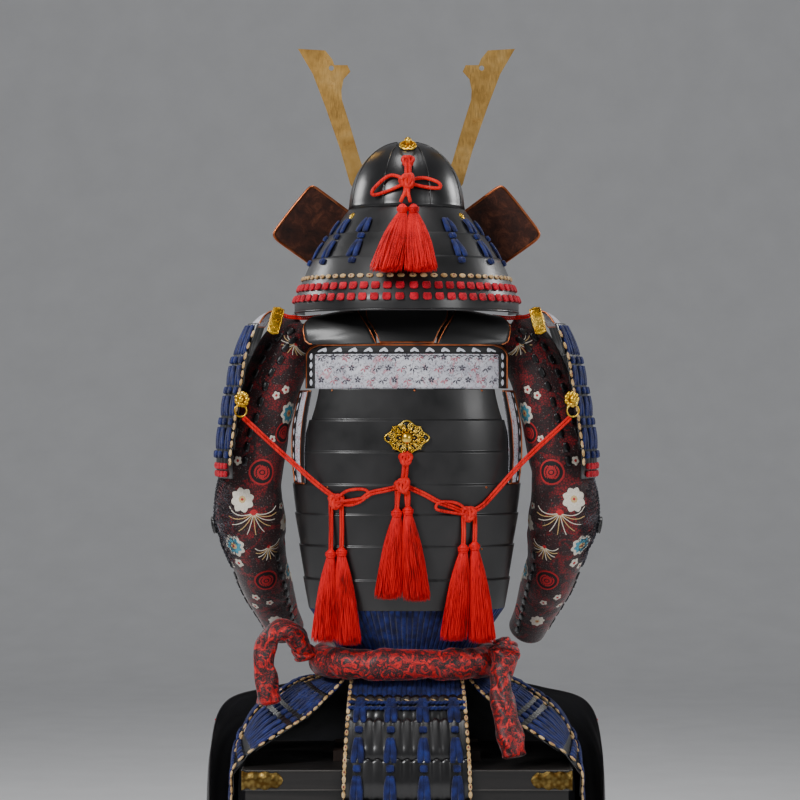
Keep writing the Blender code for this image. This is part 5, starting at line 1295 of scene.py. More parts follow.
def build_lacing(name, skin, edges, columns, size=1.0, knots=True, first=1, hang=True):
    """Blue braids: a round knot near each plate's top and a drooping pair down to the next plate."""
    form = Form()
    for number, (start, end) in enumerate(zip(edges, edges[1:])):
        if number < first:
            continue
        tall = end - start
        metres = skin.height(0.5) * tall
        if knots and number > first:
            base, across, down, out = skin.axes(np.array(columns),
                                                np.full(len(columns), start + 0.20 * tall))
            half_tall = min(0.0068 * size, metres * 0.14)
            add_blobs(form, base + out * (LAME_STEP + 0.0024), np.stack([across, down, out], axis=1),
                      (0.0074 * size, half_tall, 0.0034), SQUARE)
        if not hang or number == len(edges) - 2:
            continue
        begin = start + (0.40 if knots and number > first else 0.12) * tall
        v = np.linspace(begin, end + 0.02 * tall, 9)
        share = np.linspace(0, 1, 9)
        for place in columns:
            wide = skin.width((start + end) / 2)
            for sign in (-1, 1):
                offset = sign * (0.0026 + 0.0038 * share ** 0.7) * size / wide
                half = (0.0030 + 0.0032 * np.sin(math.pi * np.clip(0.15 + 0.62 * share, 0, 1))) * size
                add_braid(form, skin, place + offset, v, half, 0.0026,
                          LAME_STEP * (1 - share) + 0.0030 + 0.0012 * np.sin(math.pi * share))
    return make_piece(name, form, ["blue"])


def build_edge_beads(name, skin, places_u, v_range, pitch=0.015):
    """Cream edge lacing with small dark red lozenges, down the sides of a laced panel."""
    form = Form()
    for u in places_u:
        tall = skin.height(u) * (v_range[1] - v_range[0])
        count = int(tall / pitch)
        v = v_range[0] + (np.arange(count) + 0.5) / count * (v_range[1] - v_range[0])
        base, across, down, out = skin.axes(np.full(count, u), v)
        axes = np.stack([across, down, out], axis=1)
        centre = base + out * (LAME_STEP * 0.7 + 0.0022)
        add_blobs(form, centre, axes, (0.0036, 0.0070, 0.0024), ROUND, 0)
        add_blobs(form, centre[::2] + out[::2] * 0.0013, axes[::2], (0.0018, 0.0034, 0.0014), SMALL, 1)
    return make_piece(name, form, ["cream", "dark_red"])


def build_cross_knots(name, skin, rows, half, look="crimson", edge=0.06):
    """Rows of square crossed knots, each two short braids over each other."""
    form = Form()
    for v, count, lift in rows:
        u = edge + (1 - 2 * edge) * (np.arange(count) + 0.5) / count
        base, across, down, out = skin.axes(u, np.full(count, v))
        axes = np.stack([across, down, out], axis=1)
        add_blobs(form, base + out * lift, axes, (half, half * 0.88, 0.0026), SQUARE)
        diagonal = np.stack([unit(across + down), unit(down - across), out], axis=1)
        for swap in ((half * 1.18, half * 0.42, 0.0022), (half * 0.42, half * 1.18, 0.0022)):
            add_blobs(form, base + out * (lift + 0.0012), diagonal, swap, ROUND)
    return make_piece(name, form, [look])


def build_top_band(name, skin, end, pitch=0.0085):
    """Close upright braids from the waist to the first plate, and a crosswise braid under them."""
    form = Form()
    wide = skin.width(end * 0.6)
    count = max(8, int(wide / pitch))
    v = np.linspace(0.0, end * 1.06, 8)
    for number in range(count):
        u = (number + 0.5) / count
        add_braid(form, skin, np.full(8, u), v, wide / count * 0.56, 0.0018, np.full(8, 0.0006))
    u = np.linspace(0.02, 0.98, 40)
    for shift in (0.30, 0.52):
        line = skin.at(u, np.full(40, end * (1 + shift)), np.full(40, LAME_STEP + 0.0030))
        add_rope(form, line, 0.0038, 0, 0.016, 2, 6)
    stitches = max(4, int(wide / 0.022))
    u = (np.arange(stitches) + 0.5) / stitches
    base, across, down, out = skin.axes(u, np.full(stitches, end * 1.16))
    slanted = np.stack([unit(across + 0.45 * down), unit(down - 0.45 * across), out], axis=1)
    add_blobs(form, base + out * (LAME_STEP + 0.0016), slanted, (0.0052, 0.0015, 0.0012), ROUND, 1)
    make_piece(name, form, ["blue", "cream"])


def build_skirt():
    edges = [edge / SKIRT_EDGES[-1] for edge in SKIRT_EDGES]
    panels = {"skirt_back": (SKIRT_BACK, 13, (0.115, 0.37, 0.63, 0.885))}
    for word, turn in (("left", False), ("right", True)):
        for part, table, scales in (("back", SKIRT_BACK_SIDE, 12), ("side", SKIRT_SIDE, 9),
                                    ("front", SKIRT_FRONT, 12)):
            columns = np.linspace(0.10, 0.90, 6 if scales > 10 else 5)
            panels[f"skirt_{word}_{part}"] = (mirrored(table) if turn else table, scales, columns)
    for name, (table, scales, columns) in panels.items():
        skin = Skin(draped(table), (0, 0, 0.45))
        build_lames(name + "_scales", skin, edges, scales, name)
        build_lacing(name + "_lacing", skin, edges, columns)
        build_edge_beads(name + "_edging", skin, (0.018, 0.982), (0.03, 0.99))
        build_top_band(name + "_hanging_lacing", skin, edges[1])
        last = edges[-2]
        tall = 1 - last
        count = int(skin.width(0.95) / 0.017)
        build_cross_knots(name + "_hem", skin,
                          ((last + 0.50 * tall, count, 0.0030), (last + 0.78 * tall, count, 0.0026)),
                          0.0066)


def guard_surface(side):
    def surface(u, v):
        row = along(GUARD, v)
        spread = 2 * u - 1
        x = row[..., 1] + row[..., 3] * spread ** 2
        return np.stack([-side * x, spread * row[..., 2], row[..., 0] + 0 * x], axis=-1)
    return surface


def build_shoulder_guards():
    edges = [number / (len(GUARD) - 1) for number in GUARD_EDGES]
    for side, word in ((-1, "left"), (1, "right")):
        skin = Skin(guard_surface(side), (0, 0, 1.1))
        name = f"sode_{word}"
        build_lames(name + "_scales", skin, edges, 14, name, first=0)
        build_lacing(name + "_lacing", skin, edges, np.linspace(0.07, 0.93, 8), 1.0, first=0)
        build_edge_beads(name + "_edging", skin, (0.012, 0.988), (0.04, 0.90))
        build_cross_knots(name + "_hem", skin, ((0.900, 13, 0.0032), (0.955, 13, 0.0030)), 0.0066)


# Helmet

def bowl_surface(u, v):
    lift = v * math.radians(84)
    share = np.cos(lift) ** 0.9
    x, y = oval(u, BOWL_HALF_WIDE * share, BOWL_HALF_DEEP * share, 2.1)
    z = BOWL_Z + BOWL_TALL * np.sin(lift) / math.sin(math.radians(84))
    return np.stack([x, y, z + 0 * x], axis=-1)


def build_helmet():
    skin = Skin(bowl_surface, (0, 0, BOWL_Z))
    turns = np.linspace(0, 2 * math.pi, 168, endpoint=False)
    seam = ((turns * BOWL_PLATES / (2 * math.pi)) + 0.5) % 1
    rows = np.concatenate([np.linspace(0, 0.9, 30), [0.94, 0.97, 0.99, 1.0]])
    u, v = np.meshgrid(turns, rows)
    step = 0.0009 * (1 - np.clip(seam / 0.93, 0, 1)) + 0.0005 * (seam > 0.9)
    lift = step[None, :] * np.clip(1.05 - v, 0, 1) ** 0.5
    rim = 0.0012 * np.exp(-(v / 0.02) ** 2)
    form = Form()
    outer = skin.at(u, v, lift + rim)
    inner = skin.at(u, v, np.full_like(u, -WALL))
    add_wall(form, outer, inner, 0, True, np.stack([u, v], axis=-1))
    top = np.array([[0, 0, outer[-1, :, 2].mean() + 0.0004]])
    ring = outer[-1]
    count = len(ring)
    step = np.arange(count)
    fan = np.stack([step, (step + 1) % count, np.full(count, count)], axis=-1)
    form.add(np.concatenate([ring, top]), [fan])
    make_piece("helmet_bowl_plates", form, ["lacquer"], ["helmet_bowl"])
    ribs = Form()
    for number in range(BOWL_PLATES):
        angle = 2 * math.pi * (number + 0.5) / BOWL_PLATES
        v = np.linspace(0.01, 0.97, 30)
        path = skin.at(np.full(30, angle), v, np.full(30, 0.0010))
        add_tube(ribs, path, 0.0009, 6)
    make_piece("helmet_bowl_seams", ribs, ["lacquer"])
    build_neck_guard()
    build_wing_plates()


def neck_surface(row):
    top, top_half, bottom, bottom_half, opening = row
    reach = math.pi - math.radians(opening)

    def surface(u, v):
        flare = np.clip(v / (1 if bottom_half < 0.2 else 0.78), 0, 1.02) ** 0.9
        half = top_half + (bottom_half - top_half) * flare
        x, y = oval((2 * u - 1) * reach, half, half + NECK_GUARD_DEEPER, 2.1)
        return np.stack([x, y, top + (bottom - top) * v + 0 * x], axis=-1)
    return surface, reach


def angle_u(degrees, reach):
    return 0.5 + math.radians(degrees) / (2 * reach)


def build_neck_guard():
    for number, row in enumerate(NECK_GUARD, 1):
        surface, reach = neck_surface(row)
        skin = Skin(surface, (0, 0, 1.40))
        form = Form()
        v = np.concatenate([[0.001, 0.01], np.linspace(0.05, 0.95, 16), [0.99, 1.0]])
        lift = np.concatenate([[-0.0006, 0], np.zeros(16), [0, -0.0006]])
        u, v = np.meshgrid(np.linspace(0.0005, 0.9995, 111), v)
        add_wall(form, skin.at(u, v, lift[:, None] + 0 * u), skin.at(u, v, np.full_like(u, -WALL)),
                 uvs=np.stack([u, v], axis=-1))
        made = make_piece(f"neck_guard_{number}_plate", form, ["satin"], [f"neck_guard_{number}"])
        skin.shift = settle(made, f"neck_guard_{number}", "z")
        add_neck_lacing(number, skin, reach)


def add_neck_lacing(number, skin, reach):
    angles = (-104, -81, -57, -32, 32, 57, 81, 104)
    columns = np.array([angle_u(angle, reach) for angle in angles])
    wide = skin.width(0.5)
    blue = Form()
    knot_v, pair_start, pair_end = {1: (0.30, 0.46, 0.93), 2: (0.17, 0.34, 0.96), 3: (0.10, 0, 0)}[number]
    base, across, down, out = skin.axes(columns, np.full(len(columns), knot_v))
    axes = np.stack([across, down, out], axis=1)
    if number > 1:
        add_blobs(blue, base + out * 0.0020, axes, (0.0078, 0.0058, 0.0032), SQUARE)
        for sign in (-1, 1):
            add_blobs(blue, base + out * 0.0042 + across * sign * 0.0034, axes, (0.0030, 0.0052, 0.0020),
                      ROUND)
    if number < 3:
        v = np.linspace(pair_start, pair_end, 9)
        share = np.linspace(0, 1, 9)
        for place in columns:
            lean = np.sign(place - 0.5) * 0.006 * share / wide
            for sign in (-1, 1):
                offset = sign * (0.0030 + 0.0048 * share ** 0.8) / wide
                half = 0.0032 + 0.0032 * np.sin(math.pi * np.clip(0.12 + 0.55 * share, 0, 1))
                add_braid(blue, skin, place + lean + offset, v, half, 0.0026,
                          0.0022 + 0.0016 * np.sin(math.pi * share))
    make_piece(f"neck_guard_{number}_lacing", blue, ["blue"])
    if number == 1:
        rivets = Form()
        places = np.array([angle_u(angle, reach) for angle in (-57, 57)])
        base, across, down, out = skin.axes(places, np.full(2, 0.30))
        axes = np.stack([across, down, out], axis=1)
        add_blobs(rivets, base + out * 0.0004, axes, (0.0072, 0.0072, 0.0018), ROUND)
        add_blobs(rivets, base + out * 0.0016, axes, (0.0040, 0.0040, 0.0018), ROUND)
        make_piece("neck_guard_rivets", rivets, ["gilt"])
    if number == 3:
        beads = Form()
        count = 40
        u = (np.arange(count) + 0.5) / count * 0.97 + 0.015
        base, across, down, out = skin.axes(u, np.full(count, 0.385))
        axes = np.stack([across, down, out], axis=1)
        add_blobs(beads, base + out * 0.0018, axes, (0.0068, 0.0042, 0.0026), ROUND, 0)
        add_blobs(beads, base[::2] + out[::2] * 0.0032, axes[::2], (0.0030, 0.0020, 0.0016), SMALL, 1)
        make_piece("neck_guard_beads", beads, ["cream", "dark_red"])
        build_cross_knots("neck_guard_knots", skin, ((0.565, 36, 0.0020), (0.765, 36, 0.0018)), 0.0079,
                          edge=0.008)
        rim = Form()
        u = np.linspace(0, 1, 140)
        add_tube(rim, skin.at(u, np.full(140, 0.992), np.full(140, -0.0008)), 0.0019, 7)
        make_piece("neck_guard_rim", rim, ["lacquer"])


def wing_surface(side):
    def surface(u, v):
        row = along(WING_TABLE, v)
        start, bend, end = row[..., 0:3], row[..., 3:6], row[..., 6:9]
        u = u[..., None]
        first = start + (bend - start) * np.clip(u / 0.25, None, 1)
        second = bend + (end - bend) * (u - 0.25) / 0.75
        soft = 1 / (1 + np.exp(-(u - 0.25) * 30))
        return (first * (1 - soft) + second * soft) * np.array((-side, 1, 1))
    return surface


def build_wing_plates():
    """The turned back wings of the neck guard: suede behind, with a copper rim."""
    for side, word in ((-1, "left"), (1, "right")):
        skin = Skin(wing_surface(side), (0, 0.5, 1.3))
        a, b = np.meshgrid(np.linspace(-1, 1, WING_CELLS), np.linspace(-1, 1, WING_CELLS))
        power = 9
        biggest = np.maximum(np.abs(a), np.abs(b))
        rounded = (np.abs(a) ** power + np.abs(b) ** power) ** (1 / power)
        soft = np.where(biggest > 0, biggest / np.maximum(rounded, 1e-9), 1)
        soft = np.where(a < 0, 1, soft)
        u, v = 0.5 + 0.5 * a * soft, 0.5 + 0.5 * b * soft
        form = Form()
        add_wall(form, skin.at(u, v, np.full_like(u, 0.0)), skin.at(u, v, np.full_like(u, -0.003)),
                 uvs=np.stack([u, v], axis=-1))
        made = make_piece(f"fukigaeshi_{word}_suede", form, ["suede"], [f"fukigaeshi_{word}"])
        skin.shift = settle(made, f"fukigaeshi_{word}")
        edge = [(u[0, n], v[0, n]) for n in range(WING_CELLS)]
        edge += [(u[n, -1], v[n, -1]) for n in range(1, WING_CELLS)]
        edge += [(u[-1, n], v[-1, n]) for n in range(WING_CELLS - 2, -1, -1)]
        edge = np.array(edge)
        rim = Form()
        path = skin.at(edge[:, 0], edge[:, 1], np.full(len(edge), -0.0015))
        add_tube(rim, smooth_path(path, 150), 0.0026, 8)
        make_piece(f"fukigaeshi_{word}_rim", rim, ["copper"])


# Cloth

def swept_frame(table, rows):
    place = np.linspace(0, 1, rows)
    centre = along(table, place)
    ahead = unit(along(table, place + NUDGE)[:, :3] - along(table, place - NUDGE)[:, :3])
    first = unit(np.cross(ahead, np.array((0.0, 1.0, 0.2))))
    second = np.cross(ahead, first)
    return place, centre, first, second


def sleeve_radius(place, angle):
    near = np.exp(-((place - 0.55) / 0.28) ** 2)
    swell = SLEEVE_FOLD * near * np.sin(2 * math.pi * SLEEVE_FOLDS * place + 1.4 * np.sin(angle))
    for at, turn, depth, half_round, half_along, slant in SLEEVE_CREASES:
        away = (angle - turn + math.pi) % (2 * math.pi) - math.pi
        down = place - at - slant * away
        swell = swell - depth * np.exp(-(away / half_round) ** 2 - (down / half_along) ** 2)
    return swell


def sleeve_skin(side):
    """The sleeve as a skin: u turns once round it, v runs from the shoulder to the cuff."""
    table = np.array(SLEEVE) * np.array((side, 1, 1, 1))

    def surface(u, v):
        centre = along(table, v)
        ahead = unit(along(table, v + NUDGE)[..., :3] - along(table, v - NUDGE)[..., :3])
        first = unit(np.cross(ahead, np.array((0.0, 1.0, 0.2))))
        second = np.cross(ahead, first)
        angle = u * 2 * math.pi
        radius = (centre[..., 3] + sleeve_radius(v, angle))[..., None]
        return centre[..., :3] + radius * (np.cos(angle)[..., None] * first
                                           + np.sin(angle)[..., None] * second)
    return surface


class SleeveSkin(Skin):
    """Its outward side is found from the middle of the tube."""

    def __init__(self, side):
        super().__init__(sleeve_skin(side), (0, 0, 0))
        self.table = np.array(SLEEVE) * np.array((side, 1, 1, 1))

    def axes(self, u, v):
        u, v = np.broadcast_arrays(np.asarray(u, float), np.asarray(v, float))
        base = self.surface(u, v)
        across = unit(self.surface(u + NUDGE, v) - self.surface(u - NUDGE, v))
        down = unit(self.surface(u, v + NUDGE) - self.surface(u, v - NUDGE))
        out = unit(np.cross(across, down))
        middle = along(self.table, v)[..., :3]
        sign = np.sign(np.sum(out * (base - middle), axis=-1, keepdims=True))
        return base + self.shift, across, down, out * sign


def build_sleeves():
    for side, word in ((1, "left"), (-1, "right")):
        skin = SleeveSkin(side)
        form = Form()
        u, v = np.meshgrid(np.linspace(0, 1, SLEEVE_SIDES, endpoint=False), np.linspace(0, 1, SLEEVE_ROWS))
        outer = skin.at(u, v, np.zeros_like(u))
        inner = skin.at(u, v, np.full_like(u, -WALL * 0.8))
        add_wall(form, outer, inner, 0, True, np.stack([u, v], axis=-1))
        made = make_piece(f"sleeve_{word}_cloth", form, ["brocade"], [f"sleeve_{word}"])
        skin.shift = settle(made, f"sleeve_{word}")
        length = path_length(along(skin.table, np.linspace(0, 1, 60))[:, :3])
        around = 2 * math.pi * float(np.mean(np.array(SLEEVE)[:, 3]))
        build_embroidery(word, side, skin, around, length)
        build_mail(word, side, skin, around, length)


def disc_outline(middle, radius, size, count=20):
    angle = np.linspace(0, 2 * math.pi, count, endpoint=False)
    return np.stack([middle[0] + radius * np.cos(angle) / size[0],
                     middle[1] + radius * np.sin(angle) / size[1]],
                    axis=-1)


def petal(middle, reach, half_wide, turn, size, start=0.2):
    centre = (middle[0] + reach * (0.5 + start / 2) * math.cos(turn) / size[0],
              middle[1] + reach * (0.5 + start / 2) * math.sin(turn) / size[1])
    return leaf_outline(centre, reach * (1 - start) / 2, half_wide, turn, size)


def add_flower(form, skin, kind, middle, radius, size):
    """One woven motif; looks are 0 white, 1 gold, 2 turquoise, 3 bright red, 4 black."""
    lift = 0.0006
    if kind == "disc":
        for number, (share, look) in enumerate(((1.0, 3), (0.86, 4), (0.62, 3), (0.30, 4), (0.20, 3))):
            add_patch(form, skin, disc_outline(middle, radius * share, size), lift + 0.00018 * number, look)
    elif kind == "blossom":
        for number in range(5):
            turn = 2 * math.pi * (number + 0.25) / 5
            add_patch(form, skin, petal(middle, radius, radius * 0.42, turn, size, 0.1), lift + 0.0001, 0)
        add_patch(form, skin, disc_outline(middle, radius * 0.32, size, 10), lift + 0.0004, 3)
    elif kind in ("flower", "turquoise"):
        inner = 2 if kind == "turquoise" else 0
        for number in range(8):
            turn = 2 * math.pi * (number + 0.4) / 8
            add_patch(form, skin, petal(middle, radius, radius * 0.34, turn, size, 0.15), lift, 0)
            add_patch(form, skin, petal(middle, radius * 0.82, radius * 0.24, turn, size, 0.2),
                      lift + 0.0002, inner)
        add_patch(form, skin, disc_outline(middle, radius * 0.30, size, 12), lift + 0.0004, 1)
        add_patch(form, skin, disc_outline(middle, radius * 0.15, size, 10), lift + 0.0006, 3)
    else:
        for number in range(11):
            turn = math.pi * (0.10 + 0.08 * number)
            share = np.linspace(0.12, 1, 8)
            bend = 0.5 * (number - 5) / 5 * share ** 2
            u = middle[0] + radius * share * np.cos(turn + bend) / size[0]
            v = middle[1] + radius * (share * np.sin(turn + bend) - 0.5) / size[1]
            add_braid(form, skin, u, v, 0.0009, 0.0005, np.full(8, 0.0007), 1 if number % 2 else 0, 5)
        add_patch(form, skin, disc_outline((middle[0], middle[1] - 0.5 * radius / size[1]), radius * 0.16,
                                           size, 10),
                  lift + 0.0003, 3)


def build_embroidery(word, side, skin, around, length):
    form = Form()
    size = (around, length)
    for kind, place, degrees, radius in FLOWERS:
        u = sleeve_u(skin, place, degrees, side)
        add_flower(form, skin, kind, (u, place), radius, size)
    make_piece(f"sleeve_{word}_motifs", form,
               ["white_thread", "gold_thread", "turquoise", "bright_red", "black_thread"])


def sleeve_u(skin, place, degrees, side):
    """The place round a sleeve, in degrees from straight behind towards the outer side."""
    u = np.linspace(0, 1, 72, endpoint=False)
    base = skin.surface(u, np.full(72, place)) - along(skin.table, place)[:3]
    turn = math.radians(degrees)
    wanted = np.array((-side * math.sin(turn), -math.cos(turn), 0))
    return float(u[np.argmax(base @ wanted)])


def build_mail(word, side, skin, around, length):
    """Rings of mail on the outer elbow, a round boss on them, and strips of small plates down the arm."""
    rings_form = Form()
    turn = np.linspace(0, 2 * math.pi, 7, endpoint=False)
    rows = int(MAIL_SHARE * length / MAIL_PITCH)
    for row in range(rows):
        v = MAIL_TOP + row * MAIL_PITCH / length
        middle = sleeve_u(skin, v, 98, side)
        half = MAIL_HALF * math.sin(math.pi * (row + 1) / (rows + 1)) ** 0.4
        count = int(2 * half / MAIL_PITCH)
        for step in range(count):
            u = middle + ((step + 0.5 * (row % 2)) * MAIL_PITCH - half) / around
            base, across, down, out = (value.reshape(3) for value in skin.axes(u, v))
            lean = 0.5 if (row + step) % 2 else -0.5
            second = unit(down + out * lean)
            ring = base + out * 0.0016 + MAIL_RING * (np.cos(turn)[:, None] * across
                                                      + np.sin(turn)[:, None] * second)
            add_tube(rings_form, ring, MAIL_WIRE, 3, closed=True, normals=np.broadcast_to(out, (8, 3)))
    make_piece(f"sleeve_{word}_mail", rings_form, ["iron"])
    plates = Form()
    u = sleeve_u(skin, 0.555, 92, side)
    base, across, down, out = (value.reshape(3) for value in skin.axes(u, 0.555))
    add_blobs(plates, [base + out * 0.003], [np.stack([across, down, out])], (0.017, 0.017, 0.007), ROUND, 0)
    for number in range(16):
        angle = 2 * math.pi * number / 16
        spoke = across * math.cos(angle) + down * math.sin(angle)
        cross = np.cross(spoke, out)
        add_blobs(plates, [base + out * 0.007 + spoke * 0.009], [np.stack([spoke, cross, out])],
                  (0.007, 0.0012, 0.0016), SMALL, 0)
    for degrees, start, end in PLATE_STRIPS:
        count = int((end - start) * length / PLATE_PITCH)
        for number in range(count):
            v = start + (number + 0.5) / count * (end - start)
            u = sleeve_u(skin, v, degrees + 14 * (number / count - 0.5), side)
            base, across, down, out = (value.reshape(3) for value in skin.axes(u, v))
            axes = np.stack([across, down, out])
            add_blobs(plates, [base + out * 0.0012], [axes], (0.0052, 0.0092, 0.0018), SQUARE, 0)
            for sign in (-1, 1):
                place = base + out * 0.0026 + down * sign * 0.0062
                add_blobs(plates, [place], [axes], (0.0013, 0.0013, 0.0009), SMALL, 1)
    make_piece(f"sleeve_{word}_plates", plates, ["lacquer", "iron"])


def build_waist():
    def surface(u, v):
        row = along(LACING_BAND, v)
        x, y = oval((u - 0.5) * 2 * math.pi, row[..., 1], row[..., 2], CUIRASS_POWER)
        return np.stack([x, y, row[..., 0] + 0 * x], axis=-1)
    skin = Skin(surface, (0, 0, 0.66))
    form = Form()
    count = 92
    v = np.linspace(0.005, 0.995, 12)
    line = skin.at(np.linspace(0, 1, 800), np.full(800, 0.3))
    length = np.concatenate([[0], np.cumsum(np.linalg.norm(np.diff(line, axis=0), axis=1))])
    places = np.interp((np.arange(count) + 0.5) / count * length[-1], length, np.linspace(0, 1, 800))
    for place in places:
        wide = 0.5 * length[-1] / count
        half = wide * (1.12 - 0.22 * v)
        add_braid(form, skin, np.full(12, place), v, half, 0.0017, np.full(12, -0.0012))
    make_piece("waist_lacing_braids", form, ["blue"], ["waist_lacing"])


def build_sash():
    turns, around = 240, 28
    turn = np.linspace(0, 2 * math.pi, turns, endpoint=False)[:, None]
    angle = np.linspace(0, 2 * math.pi, around, endpoint=False)[None, :]
    fold = 1 + 0.03 * np.sin(9 * turn + 2 * angle)
    reach = SASH_RADIUS * fold
    share = turn / (2 * math.pi)
    for place, depth, half, slant in SASH_CREASES:
        away = (share - place - slant * 0.018 * np.sin(angle) + 0.5) % 1 - 0.5
        reach = reach - depth * np.exp(-(away / half) ** 2)
        reach = reach + depth * 0.5 * np.exp(-((away - 2 * half) / half) ** 2)
    x, y = oval(turn + 0 * angle, SASH_HALF_WIDE + reach * np.cos(angle),
                SASH_HALF_DEEP + reach * np.cos(angle),
                CUIRASS_POWER)
    points = np.stack([x, y, SASH_Z + reach * np.sin(angle)], axis=-1)
    form = Form()
    points = np.concatenate([points, points[:1]])
    form.add(points[:-1], [closed_faces(turns, around)])
    made = make_piece("sash_roll", form, ["damask"], ["sash"])
    settle(made, "sash")
    for name, table, seed in (("sash_end_left", SASH_END_LEFT, 1.0),
                              ("sash_end_right", SASH_END_RIGHT, 2.3)):
        rows, sides = 120, 40
        place, centre, first, second = swept_frame(table, rows)
        angle = np.linspace(0, 2 * math.pi, sides, endpoint=False)
        radius = centre[:, 3][:, None] + 0.0012 * np.sin(9 * place[:, None] + 3 * angle[None, :])
        radius = radius + 0.0014 * np.sin(31 * place[:, None] + 2 * np.sin(angle[None, :] * 2 + seed))
        for crease in range(3):
            away = (angle[None, :] + 5.5 * place[:, None] + 2.1 * crease + seed) % (2 * math.pi) - math.pi
            radius = radius - 0.0021 * np.exp(-(away / 0.22) ** 2)
            radius = radius + 0.0008 * np.exp(-((away - 0.5) / 0.3) ** 2)
        end = np.minimum(1, 0.45 + 20 * np.minimum(place, 1 - place)) ** 0.5
        radius = radius * end[:, None]
        ring = centre[:, None, :3] + radius[..., None] * (np.cos(angle)[None, :, None] * first[:, None]
                                                          + np.sin(angle)[None, :, None] * second[:, None])
        form = Form()
        caps = np.stack([centre[0, :3], centre[-1, :3]])
        count = rows * sides
        step = np.arange(sides)
        after = (step + 1) % sides
        fans = [np.stack([after, step, np.full(sides, count)], axis=-1),
                np.stack([step + count - sides, after + count - sides, np.full(sides, count + 1)], axis=-1)]
        form.add(np.concatenate([ring.reshape(-1, 3), caps]), [grid_faces(rows, sides, True), *fans])
        made = make_piece(name + "_roll", form, ["damask"], [name])
        shift = settle(made, name)
        wrap = Form()
        for turn_number in range(3):
            at = 0.13 + 0.035 * turn_number if name == "sash_end_right" else 0.02 + 0.03 * turn_number
            row = along(table, at)
            ahead = unit(along(table, at + NUDGE)[:3] - along(table, at - NUDGE)[:3])
            side = unit(np.cross(ahead, np.array((0.0, 1.0, 0.2))))
            up = np.cross(ahead, side)
            turn = np.linspace(0, 2 * math.pi, 30, endpoint=False)
            reach = row[3] + 0.0015
            tilt = 0.006 * np.sin(turn + turn_number)
            ring = row[:3] + shift + reach * (np.cos(turn)[:, None] * side + np.sin(turn)[:, None] * up) \
                + tilt[:, None] * ahead
            add_tube(wrap, ring, 0.0042, 8, 0, closed=True)
        make_piece(name + "_wrap", wrap, ["damask"])


def closed_faces(rows, columns):
    row, column = np.meshgrid(np.arange(rows), np.arange(columns), indexing="ij")
    below, after = (row + 1) % rows, (column + 1) % columns
    return np.stack([row * columns + column, row * columns + after, below * columns + after,
                     below * columns + column], axis=-1).reshape(-1, 4)


def build_thigh_guards():
    for side, word in ((-1, "left"), (1, "right")):
        base = draped(THIGH_GUARD if side < 0 else mirrored(THIGH_GUARD))

        def surface(u, v, base=base):
            wave = THIGH_WAVE * np.clip(v - 0.55, 0, None) * 2 * np.sin(2 * math.pi * THIGH_WAVES * u)
            wave = wave + 0.0015 * np.sin(7 * v + 9 * u) * np.clip(v - 0.3, 0, 1)
            for place, depth, half, slant in THIGH_CREASES:
                away = u - place - slant * (v - 0.6)
                wave = wave - depth * np.exp(-(away / half) ** 2) * np.clip((v - 0.35) / 0.2, 0, 1)
            return base(u, v) + wave[..., None] * np.array((0.3, 1, 0))
        skin = Skin(surface, (0, 0, 0.2))
        form = Form()
        add_skin_wall(form, skin, np.linspace(0, 1, 49), np.linspace(0, 1, 57), WALL * 0.9)
        made = make_piece(f"haidate_{word}_cloth", form, ["black_cloth"], [f"haidate_{word}"])
        shift = settle(made, f"haidate_{word}")
        skin.shift = shift
        width, tall = skin.width(0.6), skin.height(0.5)
        trim = Form()
        add_skin_wall(trim, skin, np.linspace(0.78, 0.99, 14), np.linspace(0.30, 0.58, 18), 0.0004, 0.0008,
                      0)
        edge = [(0.78, v) for v in np.linspace(0.30, 0.58, 16)]
        edge += [(u, 0.58) for u in np.linspace(0.80, 0.99, 12)]
        edge = np.array(edge)
        add_tube(trim, skin.at(edge[:, 0], edge[:, 1], np.full(len(edge), 0.0016)), 0.0020, 6, 1)
        add_skin_wall(trim, skin, np.linspace(0.80, 0.985, 12), np.linspace(0.33, 0.40, 8), 0.0004, 0.0013,
                      2)
        line = np.linspace(0.02, 0.98, 80)
        add_tube(trim, skin.at(np.full(80, 0.996), line, np.full(80, -0.0006)), 0.0016, 6, 3)
        make_piece(f"haidate_{word}_trim", trim, ["brocade", "crimson", "leather", "black_thread"])


# Cords, knots and tassels

